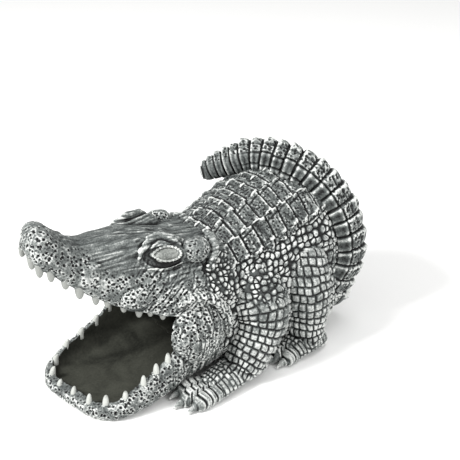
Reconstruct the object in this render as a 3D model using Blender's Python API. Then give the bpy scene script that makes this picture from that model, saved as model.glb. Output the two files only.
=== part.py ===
"""Alligator downspout statue: one hollow casting, faceted solid.

Sizes below are in millimetres and the model is built in metres. The animal faces -Y, its left
side is +X, up is +Z and the ground is z = 0. Water comes in at the rear and runs out of the mouth.
"""
import math

import bmesh
import bpy
import numpy as np

MM = 0.001

# Length of the figure that the tables of its pose, outline and carving below are drawn for
FIGURE_LENGTH = 365.0

# Downspout the statue is made to sit under, and the room left round it
DOWNSPOUT_WIDE = 102.0
DOWNSPOUT_DEEP = 76.0
DOWNSPOUT_CLEARANCE = 5.0
INLET_OFFSET = -4.0
INLET_HALF = DOWNSPOUT_WIDE / 2 + DOWNSPOUT_CLEARANCE
INLET_HEIGHT = DOWNSPOUT_DEEP + 2 * DOWNSPOUT_CLEARANCE

# Walls of the hollow casting
INLET_FRAME = 19.0
SIDE_WALL = 13.0
ROOF_WALL = 16.0
REAR_WALL = 14.0
JAW_WALL = 8.5
FLOOR_WALL = 10.0
INLET_FLOOR = 34.0

# Trunk
TRUNK_FRONT = -100.0
TRUNK_REAR = 104.0
TRUNK_HALF_WIDTH = INLET_HALF + INLET_FRAME
ROOF_OVER_INLET = 67.0
TRUNK_TOP_REAR = INLET_FLOOR + INLET_HEIGHT + ROOF_OVER_INLET
TRUNK_TOP_FRONT = TRUNK_TOP_REAR - 55.0
BELLY_HEIGHT = 13.0
LOWER_SQUARE = 0.32
EDGE_ROUND = 7.0
BAND_PITCH = 15.0
BAND_FIRST = -57.0
BAND_COUNT = 8
SCUTE_RISE = 2.6
SCUTE_GROOVE = 1.4
KEEL_RISE = 4.0

# Head
HEAD_PIVOT = -80.0
HEAD_YAW = 9.0
JAW_YAW = 0.0
SNOUT_TIP = -243.0
JAW_TIP = -227.0
JAW_REAR = -67.0
JAW_SKEW = 0.13
JAW_HALF_WIDTH = 60.0
JAW_BOTTOM = 0.0
TOOTH_RADIUS = 3.1
TOOTH_HEIGHT = 10.0
LOWER_TOOTH_COUNT = 8
LOWER_TOOTH_PITCH = 19.0
UPPER_TOOTH_COUNT = 9
UPPER_TOOTH_PITCH = 15.0
EYE_RADIUS = 11.0

# Tail
TAIL_ROOT_RADIUS = 24.0
TAIL_BAND_COUNT = 22
TAIL_SCUTE_RISE = 2.6
TAIL_CREST_RISE = 3.0

# Legs
TOE_RADIUS = 7.0
CLAW_RADIUS = 3.2
CLAW_LENGTH = 11.0


def drawn(rows):
    """Rows of a table in millimetres, drawn for a figure 365 mm long, set to the figure's length."""
    return np.asarray(rows, float) * (FIGURE_LENGTH / 365.0)


def drawn_keys(rows, kept):
    """As drawn, but the named columns are shares and stay as they are."""
    rows = np.asarray(rows, float)
    out = drawn(rows)
    out[:, kept] = rows[:, kept]
    return out


def clear_scene():
    for obj in list(bpy.data.objects):
        bpy.data.objects.remove(obj, do_unlink=True)


def closed_mesh(name, rings):
    """One closed object from rings of equal point count, ends closed with a fan."""
    rings = np.asarray(rings, float) * MM
    count, around = rings.shape[:2]
    verts = list(rings.reshape(-1, 3))
    faces = []
    for i in range(count - 1):
        for j in range(around):
            k = (j + 1) % around
            faces.append((i * around + j, i * around + k, (i + 1) * around + k, (i + 1) * around + j))
    verts.append(rings[0].mean(axis=0))
    verts.append(rings[-1].mean(axis=0))
    first = len(verts) - 2
    last = len(verts) - 1
    for j in range(around):
        k = (j + 1) % around
        faces.append((first, k, j))
        faces.append((last, (count - 1) * around + j, (count - 1) * around + k))
    mesh = bpy.data.meshes.new(name)
    mesh.from_pydata([tuple(v) for v in verts], [], faces)
    face_out(mesh)
    obj = bpy.data.objects.new(name, mesh)
    bpy.context.scene.collection.objects.link(obj)
    return obj


def face_out(mesh):
    """Turns the faces outward when the closed mesh has them inside out."""
    bm = bmesh.new()
    bm.from_mesh(mesh)
    if bm.calc_volume(signed=True) < 0:
        bmesh.ops.reverse_faces(bm, faces=bm.faces)
    bm.to_mesh(mesh)
    bm.free()


def through(keys, values, at):
    """Smooth curve through the key values (one row per key), read at the given places."""
    keys = np.asarray(keys, float)
    values = np.asarray(values, float)
    if values.ndim == 1:
        values = values[:, None]
    at = np.atleast_1d(np.asarray(at, float))
    slopes = np.empty_like(values)
    step = np.diff(keys)[:, None]
    secant = np.diff(values, axis=0) / step
    slopes[0] = secant[0]
    slopes[-1] = secant[-1]
    slopes[1:-1] = (secant[:-1] * step[1:] + secant[1:] * step[:-1]) / (step[1:] + step[:-1])
    i = np.clip(np.searchsorted(keys, at) - 1, 0, len(keys) - 2)
    h = (keys[i + 1] - keys[i])[:, None]
    t = ((at - keys[i])[:, None]) / h
    out = ((2 * t ** 3 - 3 * t ** 2 + 1) * values[i] + (t ** 3 - 2 * t ** 2 + t) * h * slopes[i]
           + (3 * t ** 2 - 2 * t ** 3) * values[i + 1] + (t ** 3 - t ** 2) * h * slopes[i + 1])
    return out


# Trunk form: y, half width, height of the widest line, top, bottom
def trunk_sizes(y):
    t = (y - TRUNK_FRONT) / (TRUNK_REAR - TRUNK_FRONT)
    w = TRUNK_HALF_WIDTH
    b = BELLY_HEIGHT
    rise = TRUNK_TOP_REAR - TRUNK_TOP_FRONT
    keys = [0.0, 0.15, 0.35, 0.62, 0.85, 1.0]
    rows = [(0.74 * w, 6.00 * b, TRUNK_TOP_FRONT, 2.08 * b),
            (0.88 * w, 6.15 * b, TRUNK_TOP_FRONT + 0.17 * rise, 1.46 * b),
            (0.97 * w, 6.54 * b, TRUNK_TOP_FRONT + 0.50 * rise, b),
            (w, 7.31 * b, TRUNK_TOP_FRONT + 0.85 * rise, b),
            (0.98 * w, 7.38 * b, TRUNK_TOP_REAR, b),
            (0.93 * w, 7.08 * b, TRUNK_TOP_REAR - 0.22 * rise, 1.15 * b)]
    return through(keys, rows, t)[0]


def trunk_point(y, angle, rise=0.0):
    """Point on the trunk skin; angle in degrees from straight up, + toward the left side."""
    w, mid, top, bottom = trunk_sizes(y)
    a = math.radians(angle)
    s = math.sin(a)
    c = math.cos(a)
    if c >= 0:
        x = w * s
        z = mid + (top - mid) * c
    else:
        x = w * math.copysign(abs(s) ** LOWER_SQUARE, s)
        z = mid - (mid - bottom) * abs(c) ** LOWER_SQUARE
    n = np.array([s / w, 0.0, c / max(top - mid, mid - bottom)])
    n /= np.linalg.norm(n)
    return np.array([x, y, z]) + n * rise


SCUTE_ROWS = [(0.0, 27.0, 15.0), (27.0, 49.0, 38.0), (49.0, 69.0, 59.0)]


def trunk_columns():
    """Angles round the trunk with what each one is: groove, plate or keel."""
    side = []
    for start, end, keel in SCUTE_ROWS:
        side += [(start, "groove"), (start + 2.5, "plate"), (keel, "keel"), (end - 2.5, "plate")]
    side += [(69.0, "groove")]
    side += [(a, "skin") for a in (82.0, 102.0, 125.0, 150.0, 180.0)]
    left = side
    right = [(-a, kind) for a, kind in side[1:-1]][::-1]
    return left + right


def build_trunk():
    cols = trunk_columns()
    rings = []

    def ring(y, band):
        points = []
        for angle, kind in cols:
            rise = 0.0
            if band == "end":
                rise = -0.6 * EDGE_ROUND
            elif kind in ("plate", "keel"):
                rise = {"groove": -SCUTE_GROOVE, "front": 0.35 * SCUTE_RISE,
                        "rear": SCUTE_RISE, "none": 0.0}[band]
                if kind == "keel" and band == "rear":
                    rise += KEEL_RISE
                if kind == "keel" and band == "front":
                    rise += 0.3 * KEEL_RISE
            elif kind == "groove" and band == "rear":
                rise = SCUTE_RISE - SCUTE_GROOVE
            elif kind == "groove" and band != "none":
                rise = -SCUTE_GROOVE
            points.append(trunk_point(y, angle, rise))
        rings.append(points)

    ring(TRUNK_FRONT, "none")
    ring(BAND_FIRST - 8, "none")
    for i in range(BAND_COUNT):
        y = BAND_FIRST + i * BAND_PITCH
        ring(y, "groove")
        ring(y + 1.5, "front")
        ring(y + BAND_PITCH - 1.5, "rear")
    y = BAND_FIRST + BAND_COUNT * BAND_PITCH
    ring(y, "groove")
    ring(0.5 * (y + TRUNK_REAR), "none")
    ring(TRUNK_REAR - EDGE_ROUND, "none")
    ring(TRUNK_REAR, "end")
    return closed_mesh("trunk", rings)


def turned(points, yaw):
    """Turns points about the head pivot, + swings the snout toward the right side."""
    a = math.radians(yaw)
    p = np.array(points, float)
    x = p[..., 0].copy()
    y = p[..., 1] - HEAD_PIVOT
    p[..., 0] = x * math.cos(a) + y * math.sin(a)
    p[..., 1] = HEAD_PIVOT - x * math.sin(a) + y * math.cos(a)
    return p


# Upper head: share of the way to the snout tip, top, ridge half width, ridge height,
# cheek half width, cheek height, lip half width, lip height
HEAD_KEYS = [
    (-0.16, 143, 36, 138, 62, 108, 60, 84),
    (0.03, 146, 38, 143, 67, 110, 66, 87),
    (0.24, 155, 35, 152, 61, 116, 62, 89),
    (0.42, 161, 26, 156, 49, 120, 50, 96),
    (0.58, 164, 21, 158, 39, 128, 38, 106),
    (0.73, 167, 18, 162, 31, 140, 29, 120),
    (0.84, 180, 18, 174, 28, 153, 25, 134),
    (0.92, 190, 18, 184, 26, 164, 21, 146),
    (0.98, 187, 14, 182, 20, 168, 15, 155),
    (1.01, 180, 7, 177, 11, 170, 8, 163),
]


def head_sizes(share):
    keys = [row[0] for row in HEAD_KEYS]
    return through(keys, drawn([row[1:] for row in HEAD_KEYS]), share)[0]


def head_ring(share):
    """Half outline from the crown to the palate, mirrored; the same point count everywhere."""
    top, rw, rz, cw, cz, lw, lz = head_sizes(share)
    depth = top - lz
    half = [(0.0, top), (0.5 * rw, top - 0.1 * (top - rz)), (rw, rz),
            (0.5 * (rw + cw) + 0.05 * cw, 0.45 * rz + 0.55 * cz),
            (cw, cz), (0.5 * (cw + lw) + 1.5, 0.5 * (cz + lz)), (lw, lz), (lw - 0.18 * lw, lz + 0.05 * depth),
            (0.5 * lw, lz + 0.16 * depth), (0.0, lz + 0.22 * depth)]
    y = HEAD_PIVOT + share * (SNOUT_TIP - HEAD_PIVOT)
    left = [(x, y, z) for x, z in half]
    right = [(-x, y, z) for x, z in half[1:-1]][::-1]
    return turned(left + right, HEAD_YAW)


def build_head():
    shares = [-0.16, -0.03, 0.09, 0.2, 0.3, 0.39, 0.48, 0.57, 0.65, 0.73, 0.79, 0.84, 0.88, 0.92, 0.955, 0.98,
              1.0, 1.01]
    return closed_mesh("head", [head_ring(s) for s in shares])


# Lower jaw: distance from the tip in parts of 160, share of the half width, rim height, bottom height
JAW_KEYS = [
    (0.0, 0.42, 11, 4),
    (3.0, 0.62, 13, 1.5),
    (8.0, 0.76, 15, 0),
    (15.0, 0.88, 18, 0),
    (26.0, 0.96, 22, 0),
    (40.0, 1.00, 29, 0),
    (55.0, 1.00, 35, 2),
    (72.0, 1.02, 43, 5),
    (86.0, 1.03, 52, 8),
    (95.0, 1.04, 66, 10),
    (102.0, 1.05, 84, 12),
    (112.0, 1.06, 95, 14),
    (135.0, 1.06, 104, 17),
    (160.0, 1.02, 106, 20),
]


JAW_PART = (JAW_REAR - JAW_TIP) / 160.0


def jaw_sizes(d):
    keys = [row[0] for row in JAW_KEYS]
    return through(keys, drawn_keys([row[1:] for row in JAW_KEYS], 0), d)[0]


def jaw_place(x, d, z):
    """Point of the lower jaw; its front is set a little askew, the right corner leading."""
    fade = min(max((110.0 - d) / 60.0, 0.0), 1.0)
    return turned([(x, JAW_TIP + d * JAW_PART + JAW_SKEW * x * fade, max(z, JAW_BOTTOM))], JAW_YAW)[0]


def jaw_ring(d):
    share, rim, bottom = jaw_sizes(d)
    w = share * JAW_HALF_WIDTH
    h = rim - bottom
    half = [(0.0, rim), (0.8 * w, rim), (0.95 * w, rim - 0.04 * h), (w, rim - 0.25 * h),
            (w, bottom + 0.45 * h), (0.97 * w, bottom + 0.2 * h), (0.88 * w, bottom + 0.03 * h),
            (0.75 * w, bottom), (0.4 * w, bottom), (0.0, bottom)]
    left = [(x, z + JAW_BOTTOM) for x, z in half]
    right = [(-x, z) for x, z in left[1:-1]][::-1]
    return [jaw_place(x, d, z) for x, z in left + right]


def build_jaw():
    places = [0.0, 3.0, 8.0, 15.0, 26.0, 40.0, 55.0, 72.0, 86.0, 95.0, 102.0, 112.0, 135.0, 160.0]
    return closed_mesh("jaw", [jaw_ring(d) for d in places])


def ball(name, centre, radii, segments=12, rings=8, spin=0.0):
    """Ellipsoid with its poles along z."""
    points = []
    for i in range(1, rings):
        lat = math.pi * i / rings
        row = []
        for j in range(segments):
            lon = 2 * math.pi * j / segments
            x = radii[0] * math.sin(lat) * math.cos(lon)
            y = radii[1] * math.sin(lat) * math.sin(lon)
            z = radii[2] * math.cos(lat)
            a = math.radians(spin)
            row.append((centre[0] + x * math.cos(a) - y * math.sin(a),
                        centre[1] + x * math.sin(a) + y * math.cos(a), centre[2] + z))
        points.append(row)
    return closed_mesh(name, points)


def leg_tube(name, line, side, around):
    """Closed tube along a leg, cut off level with the ground; side -1 mirrors it."""
    centres = line[:, :3]
    tangents = np.gradient(centres, axis=0)
    tangents /= np.linalg.norm(tangents, axis=1)[:, None]
    rings = []
    for c, t, r in zip(centres, tangents, line[:, 3]):
        across = np.cross(t, (0.0, 1.0, 0.0))
        across /= np.linalg.norm(across)
        up = np.cross(across, t)
        ring = []
        for j in range(around):
            a = 2 * math.pi * j / around
            p = c + r * (across * math.cos(a) + up * math.sin(a))
            ring.append((side * p[0], p[1], max(p[2], 0.4)))
        rings.append(ring)
    return closed_mesh(name, rings)


# Legs on the left side: centre line x, y, z and radius; the right side is the mirror image
FRONT_LEG = [(46, -40, 102, 18), (56, -38, 94, 25), (66, -36, 79, 29), (72, -38, 61, 27), (75, -48, 42, 24),
             (76, -60, 26, 21), (77, -70, 14, 18)]
HIND_LEG = [(50, 32, 112, 16), (61, 30, 102, 21), (69, 26, 86, 25), (74, 24, 65, 25), (76, 24, 46, 22),
            (78, 22, 28, 19), (80, 22, 14, 16)]
FRONT_FOOT = [(73, -36, 6, 8), (73, -44, 9, 13), (73, -56, 11, 16), (74, -76, 12, 18.5), (76, -96, 11, 19),
              (77, -112, 9, 17)]
HIND_FOOT = [(78, 47, 6, 7), (78, 41, 8, 12), (78, 32, 11, 16), (78, 16, 12, 18), (78, 0, 10, 16), (79, -10, 8, 13)]
FRONT_TOES = [((66, -104), (60, -136)), ((77, -108), (74, -142)), ((87, -102), (88, -136))]
HIND_TOES = [((70, 0), (64, -22)), ((78, -4), (76, -27)), ((87, 2), (88, -20))]


def smooth_line(rows, count):
    keys = np.linspace(0, 1, len(rows))
    return through(keys, rows, np.linspace(0, 1, count))


def build_foot(name, rows, side):
    """Foot pad with a flat sole on the ground."""
    line = smooth_line(drawn(rows), 6)
    rings = []
    for x, y, z, r in line:
        ring = []
        for j in range(10):
            a = 2 * math.pi * j / 10
            px = x + r * math.cos(a)
            pz = z + 1.1 * z * math.sin(a)
            ring.append((side * px, y, max(pz, 0.0)))
        rings.append(ring)
    return closed_mesh(name, rings)


def build_toe(name, start, end, side):
    start, end = drawn([start, end])
    step = end - start
    length = np.linalg.norm(step)
    step /= length
    cross = np.array([step[1], -step[0]])
    rows = []
    spots = [(0.0, 1.0, 1.1), (0.4, 0.95, 1.1), (0.7, 1.02, 1.15), (1.0, 0.62, 0.6)]
    for f, wide, tall in spots:
        rows.append((start + step * length * f, TOE_RADIUS * wide, TOE_RADIUS * tall))
    tip = end + step * CLAW_LENGTH
    rows.append((end + step * 0.5, CLAW_RADIUS * 1.15, CLAW_RADIUS * 1.5))
    rows.append((tip, CLAW_RADIUS * 0.4, CLAW_RADIUS * 0.5))
    rings = []
    for centre, wide, tall in rows:
        ring = []
        for j in range(6):
            a = 2 * math.pi * (j + 0.5) / 6
            p = centre + cross * wide * math.cos(a)
            z = max(tall * (1 + math.sin(a)), 0.0)
            ring.append((side * p[0], p[1], z))
        rings.append(ring)
    return closed_mesh(name, rings)


# Tail centre line: x, y, z, radius share between root and tip
TAIL_KEYS = [
    (24, 66, 27, 0.96), (38, 76, 31, 1.0), (47, 84, 54, 1.0), (55, 92, 84, 1.0), (54, 90, 117, 0.98),
    (42, 81, 149, 0.95), (21, 67, 173, 0.90), (-4, 51, 184, 0.81), (-26, 37, 185, 0.73), (-45, 23, 178, 0.64),
    (-59, 12, 171.5, 0.56), (-67, 5, 166, 0.47), (-71, 0, 164, 0.36),
]


def tail_line(count):
    dense = smooth_line(drawn_keys(TAIL_KEYS, 3), 400)
    length = np.concatenate([[0], np.cumsum(np.linalg.norm(np.diff(dense[:, :3], axis=0), axis=1))])
    at = np.linspace(0, length[-1], count)
    return np.array([[np.interp(s, length, dense[:, k]) for k in range(4)] for s in at]), length[-1]


TAIL_AXIS = drawn([0.0, 60.0, 90.0])


def build_tail():
    """Banded tail; the crest side faces away from the middle of the arch."""
    samples, length = tail_line(TAIL_BAND_COUNT * 10 + 1)
    centres = samples[:, :3]
    tangents = np.gradient(centres, axis=0)
    tangents /= np.linalg.norm(tangents, axis=1)[:, None]
    rings = []
    kinds = ["crest", "plate", "side", "groove", "skin", "skin", "skin", "skin", "groove", "side", "plate"]
    angles = [0, 22, 52, 78, 106, 154, 206, 254, 282, 308, 338]
    for b in range(TAIL_BAND_COUNT):
        for part, f in (("groove", 0.0), ("front", 1.2), ("rear", 8.8)):
            i = min(int(round(b * 10 + f)), len(centres) - 1)
            c = centres[i]
            t = tangents[i]
            out = c - TAIL_AXIS
            out -= t * out.dot(t)
            out /= np.linalg.norm(out)
            side = np.cross(t, out)
            r = samples[i, 3] * TAIL_ROOT_RADIUS
            fade = min(1.0, samples[i, 3] / 0.6)
            ring = []
            for kind, angle in zip(kinds, angles):
                a = math.radians(angle)
                rise = {"groove": -1.6, "front": 0.3 * TAIL_SCUTE_RISE, "rear": TAIL_SCUTE_RISE}[part] * fade
                if kind == "crest" and part == "rear":
                    rise += TAIL_CREST_RISE * fade
                if kind == "skin":
                    rise *= 0.4
                if kind == "groove":
                    rise = -1.6 * fade
                p = c + (r + rise) * (out * math.cos(a) + side * math.sin(a))
                ring.append((p[0], p[1], max(p[2], 0.5)))
            rings.append(ring)
    c = samples[-1, :3]
    last = np.array(rings[-1])
    rings.append(c + (last - last.mean(axis=0)) * 0.55 + tangents[-1] * 2.0)
    return closed_mesh("tail", rings)


def build_parts():
    made = [build_trunk(), build_head(), build_jaw(), build_tail()]
    for side in (1, -1):
        tag = "left" if side > 0 else "right"
        for name, rows, foot, toes in (("front", FRONT_LEG, FRONT_FOOT, FRONT_TOES),
                                       ("hind", HIND_LEG, HIND_FOOT, HIND_TOES)):
            line = smooth_line(drawn(rows), 8)
            made.append(leg_tube(f"{name}_leg_{tag}", line, side, 11))
            made.append(build_foot(f"{name}_foot_{tag}", foot, side))
            for i, (start, end) in enumerate(toes):
                made.append(build_toe(f"{name}_toe_{tag}_{i}", start, end, side))
        cheek = turned([drawn((58.0 * side, -108.0, 66.0))], JAW_YAW)[0]
        made.append(ball(f"jowl_{tag}", cheek, drawn((19, 30, 34)), 11, 6))
        brow = turned([drawn((27.0 * side, -117.0, 148.0))], HEAD_YAW)[0]
        made.append(ball(f"brow_{tag}", brow, drawn((13, 22, 14)), 10, 6, -HEAD_YAW))
        eye = turned([drawn((38.0 * side, -115.0, 144.0))], HEAD_YAW)[0]
        made.append(ball(f"eye_{tag}", eye, (EYE_RADIUS, EYE_RADIUS * 1.3, EYE_RADIUS * 0.8), 10, 6, -HEAD_YAW))
        ear = turned([drawn((43.0 * side, -88.0, 138.0))], HEAD_YAW)[0]
        made.append(ball(f"ear_{tag}", ear, drawn((11, 14, 9)), 8, 6, -HEAD_YAW))
    return made


# Tunnel from the rear inlet to the mouth: y, middle x, half width, floor, top
MOUTH_ROOF = [(9, 20), (16, 40), (30, 80), (52, 96), (82, 104), (104, 106), (132, 108)]


def tunnel_rows():
    rows = []
    for d, roof in MOUTH_ROOF:
        share, rim, bottom = jaw_sizes(d)
        rows.append((JAW_TIP + d * JAW_PART, 0.0, share * JAW_HALF_WIDTH - JAW_WALL - 2.0 * FLOOR_WALL / d,
                     JAW_BOTTOM + max(bottom, 0.0) + FLOOR_WALL, drawn(roof)))
    rows[0] = rows[0][:2] + (rows[0][2] - 6.0,) + rows[0][3:]
    jaw_rows = len(rows)
    for share in (0.20, 0.45, 0.70):
        y = TRUNK_FRONT + share * (TRUNK_REAR - TRUNK_FRONT)
        w, mid, top, bottom = trunk_sizes(y)
        floor = INLET_FLOOR - (1 - share) * 6.0
        rows.append((y, share * INLET_OFFSET, w - SIDE_WALL, floor, top - ROOF_WALL))
    y = TRUNK_REAR - REAR_WALL
    w, mid, top, bottom = trunk_sizes(y)
    rows.append((y - 4.0, INLET_OFFSET, INLET_HALF, INLET_FLOOR, top - ROOF_WALL - 6.0))
    rows.append((y, INLET_OFFSET, INLET_HALF, INLET_FLOOR, INLET_FLOOR + INLET_HEIGHT))
    rows.append((TRUNK_REAR + 40.0, INLET_OFFSET, INLET_HALF, INLET_FLOOR, INLET_FLOOR + INLET_HEIGHT))
    return rows, jaw_rows


def build_tunnel():
    rings = []
    rows, jaw_rows = tunnel_rows()
    for i, (y, x, w, floor, top) in enumerate(rows):
        h = top - floor
        if i < len(rows) - 2:
            half = [(0, 0), (0.72, 0), (0.93, 0.05), (1, 0.2), (1, 0.62), (0.9, 0.84), (0.6, 0.97), (0, 1)]
        else:
            half = [(0, 0), (0.75, 0), (0.985, 0.01), (1, 0.03), (1, 0.94), (0.985, 0.985), (0.7, 1), (0, 1)]
        left = [(x + a * w, y, floor + b * h) for a, b in half]
        right = [(x - a * w, y, floor + b * h) for a, b in half[1:-1]][::-1]
        ring = left + right
        if i < jaw_rows:
            ring = [jaw_place(px, (py - JAW_TIP) / JAW_PART, pz) for px, py, pz in ring]
        rings.append(ring)
    return closed_mesh("tunnel", rings)


def palate_height(x, y):
    """Height of the tunnel's roof over a place in the mouth, or of its floor beside the tunnel."""
    rows = np.array(tunnel_rows()[0])
    middle, w, floor, top = (np.interp(y, rows[:, 0], rows[:, k]) for k in range(1, 5))
    off = abs(x - middle) / w
    return np.interp(off, [0.0, 0.6, 0.9, 1.0], [1.0, 0.97, 0.84, 0.62], right=0.0) * (top - floor) + floor


def tooth(name, base, tip_way, radius, height, lean):
    """Blunt cone with its root sunk in the gum."""
    base = np.array(base, float)
    rings = []
    for f, share in ((-0.45, 1.0), (0.55, 0.8), (1.0, 0.3)):
        ring = []
        for j in range(5):
            a = 2 * math.pi * (j + 0.35) / 5
            ring.append((base[0] + lean[0] * max(f, 0) + radius * share * math.cos(a),
                         base[1] + lean[1] * max(f, 0) + radius * share * math.sin(a),
                         base[2] + tip_way * f * height))
        rings.append(ring)
    return closed_mesh(name, rings)


def build_lower_teeth():
    """Evenly spaced along the rim of the lower jaw."""
    d = np.linspace(0, 98, 393)
    sizes = np.array([jaw_sizes(v) for v in d])
    x = np.concatenate([[0.0], sizes[:, 0] * JAW_HALF_WIDTH]) - 5.5
    x[0] = 0
    y = np.concatenate([[0.0], d * JAW_PART]) + 5.0
    z = np.concatenate([[sizes[0, 1]], sizes[:, 1]])
    length = np.concatenate([[0], np.cumsum(np.hypot(np.hypot(np.diff(x), np.diff(y)), np.diff(z)))])
    made = []
    for k in range(LOWER_TOOTH_COUNT):
        s = (k + 0.5) * LOWER_TOOTH_PITCH
        px, py, pz = (np.interp(s, length, v) for v in (x, y, z))
        for side in (1, -1):
            base = jaw_place(px * side, py / JAW_PART, pz - 0.5)
            lean = (-side * 1.5 * px / JAW_HALF_WIDTH, 2.0)
            made.append(tooth(f"lower_tooth_{k}_{side}", base, 1, TOOTH_RADIUS, TOOTH_HEIGHT, lean))
    return made


def build_upper_teeth():
    """Evenly spaced along the lip of the upper jaw."""
    shares = np.linspace(1.0, 0.36, 200)
    sizes = np.array([head_sizes(v) for v in shares])
    x = np.concatenate([[0.0], sizes[:, 5] * 0.84])
    y = np.concatenate([[SNOUT_TIP], HEAD_PIVOT + shares * (SNOUT_TIP - HEAD_PIVOT)]) + 3
    z = np.concatenate([[sizes[0, 6]], sizes[:, 6]])
    length = np.concatenate([[0], np.cumsum(np.hypot(np.hypot(np.diff(x), np.diff(y)), np.diff(z)))])
    made = []
    for k in range(UPPER_TOOTH_COUNT):
        s = (k + 0.6) * UPPER_TOOTH_PITCH
        px, py, pz = (np.interp(s, length, v) for v in (x, y, z))
        for side in (1, -1):
            base = turned([(px * side, py, pz + 1.0)], HEAD_YAW)[0]
            base[2] = max(base[2], palate_height(base[0], base[1]))
            made.append(tooth(f"upper_tooth_{k}_{side}", base, -1, TOOTH_RADIUS * 0.95, TOOTH_HEIGHT * 0.75,
                              (0, 0)))
    return made


def boolean(body, tools, operation):
    """Adds or cuts all the tools at once with the exact solver, removes them and makes triangles."""
    group = bpy.data.collections.new("tools")
    for tool in tools:
        group.objects.link(tool)
    mod = body.modifiers.new(operation.lower(), "BOOLEAN")
    mod.operation = operation
    mod.solver = "EXACT"
    mod.operand_type = "COLLECTION"
    mod.collection = group
    depsgraph = bpy.context.evaluated_depsgraph_get()
    mesh = bpy.data.meshes.new_from_object(body.evaluated_get(depsgraph))
    body.modifiers.clear()
    body.data = mesh
    for tool in tools:
        bpy.data.objects.remove(tool, do_unlink=True)
    bpy.data.collections.remove(group)
    bm = bmesh.new()
    bm.from_mesh(mesh)
    bmesh.ops.triangulate(bm, faces=bm.faces)
    bm.to_mesh(mesh)
    bm.free()


def tidy(obj):
    """Merges stray points, makes triangles and shades smooth below the facet angle."""
    bm = bmesh.new()
    bm.from_mesh(obj.data)
    bmesh.ops.triangulate(bm, faces=bm.faces)
    bmesh.ops.remove_doubles(bm, verts=bm.verts, dist=0.00002)
    bmesh.ops.dissolve_degenerate(bm, edges=bm.edges, dist=0.00002)
    bm.to_mesh(obj.data)
    bm.free()
    obj.data.shade_smooth()
    obj.data.set_sharp_from_angle(angle=math.radians(32))


def stand_on_origin(obj):
    """Moves the mesh along its length so that the origin is under the middle of its box."""
    y = [v.co.y for v in obj.data.vertices]
    shift = -0.5 * (min(y) + max(y))
    for v in obj.data.vertices:
        v.co.y += shift
    return shift


def stone_material():
    """Grey cast stone."""
    mat = bpy.data.materials.new("grey cast stone")
    mat.use_nodes = True
    shader = mat.node_tree.nodes["Principled BSDF"]
    shader.inputs["Base Color"].default_value = (0.205, 0.212, 0.205, 1.0)
    shader.inputs["Roughness"].default_value = 0.78
    shader.inputs["Metallic"].default_value = 0.0
    return mat


clear_scene()
parts = build_parts()
statue = parts[0]
boolean(statue, parts[1:], "UNION")
boolean(statue, [build_tunnel()], "DIFFERENCE")
boolean(statue, build_lower_teeth() + build_upper_teeth(), "UNION")
tidy(statue)
ORIGIN_SHIFT = stand_on_origin(statue)
statue.name = "alligator"
statue.data.name = "alligator"
statue.data.materials.append(stone_material())
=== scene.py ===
import math

import bmesh
import bpy
import numpy as np
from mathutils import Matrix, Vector


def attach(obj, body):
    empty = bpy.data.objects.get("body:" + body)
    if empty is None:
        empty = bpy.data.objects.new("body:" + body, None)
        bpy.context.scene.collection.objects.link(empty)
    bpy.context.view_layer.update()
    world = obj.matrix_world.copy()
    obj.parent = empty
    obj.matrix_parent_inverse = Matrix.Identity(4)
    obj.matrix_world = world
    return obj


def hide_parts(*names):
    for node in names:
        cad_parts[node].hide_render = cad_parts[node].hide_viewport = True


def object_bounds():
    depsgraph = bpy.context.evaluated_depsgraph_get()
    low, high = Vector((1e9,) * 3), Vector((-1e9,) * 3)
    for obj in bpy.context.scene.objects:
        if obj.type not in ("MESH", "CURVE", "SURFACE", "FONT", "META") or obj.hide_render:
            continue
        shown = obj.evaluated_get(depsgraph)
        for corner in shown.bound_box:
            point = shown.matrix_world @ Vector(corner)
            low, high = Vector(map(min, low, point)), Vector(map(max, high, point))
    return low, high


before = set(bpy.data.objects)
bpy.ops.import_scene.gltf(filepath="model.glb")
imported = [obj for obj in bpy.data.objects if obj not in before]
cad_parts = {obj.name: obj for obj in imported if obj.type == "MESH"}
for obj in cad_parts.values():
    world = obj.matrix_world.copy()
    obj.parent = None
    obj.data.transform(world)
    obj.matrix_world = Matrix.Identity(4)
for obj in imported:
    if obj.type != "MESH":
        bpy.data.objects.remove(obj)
cad_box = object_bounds()

# Sizes are in millimetres. The animal faces -Y and its left is +X. The forms are drawn about the
# point between the front legs, as in the solid, whose front stands at SOLID_FRONT there, and
# MOVE_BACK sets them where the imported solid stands.
MM = 0.001
SOLID_FRONT = -244.3239
MOVE_BACK = round(cad_box[0][1] / MM - SOLID_FRONT, 4)

# Inlet, walls and trunk
INLET_HALF = 56.0
INLET_HEIGHT = 86.0
INLET_OFFSET = -4.0
INLET_FLOOR = 34.0
SIDE_WALL = 13.0
ROOF_WALL = 16.0
REAR_WALL = 14.0
JAW_WALL = 8.5
FLOOR_WALL = 10.0
TRUNK_FRONT = -100.0
TRUNK_REAR = 104.0
TRUNK_HALF_WIDTH = 75.0
TRUNK_TOP_REAR = 187.0
TRUNK_TOP_FRONT = 132.0
BELLY_HEIGHT = 13.0
LOWER_SQUARE = 0.32
BAND_PITCH = 15.0
BAND_FIRST = -57.0
SCUTE_RISE = 2.6
KEEL_RISE = 4.0
KEEL_ANGLES = (14.0, 34.0, 53.0)
PLATES_END = 57.0

# Head and jaw
HEAD_PIVOT = -80.0
HEAD_YAW = 9.0
SNOUT_TIP = -243.0
JAW_TIP = -227.0
JAW_SKEW = 0.13
SKEW_END = 110.0
SKEW_FADE = 60.0
JAW_HALF_WIDTH = 60.0
TOOTH_RADIUS = 3.3
GUM_INSET = 5.0
TOOTH_HEIGHT = 11.0

# Tail, toes and claws
TAIL_ROOT_RADIUS = 24.0
TAIL_BAND_ROOT = 19.5
TAIL_BAND_TIP = 9.0
TOE_RADIUS = 7.0
CLAW_RADIUS = 3.4
CLAW_LENGTH = 11.0

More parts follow.
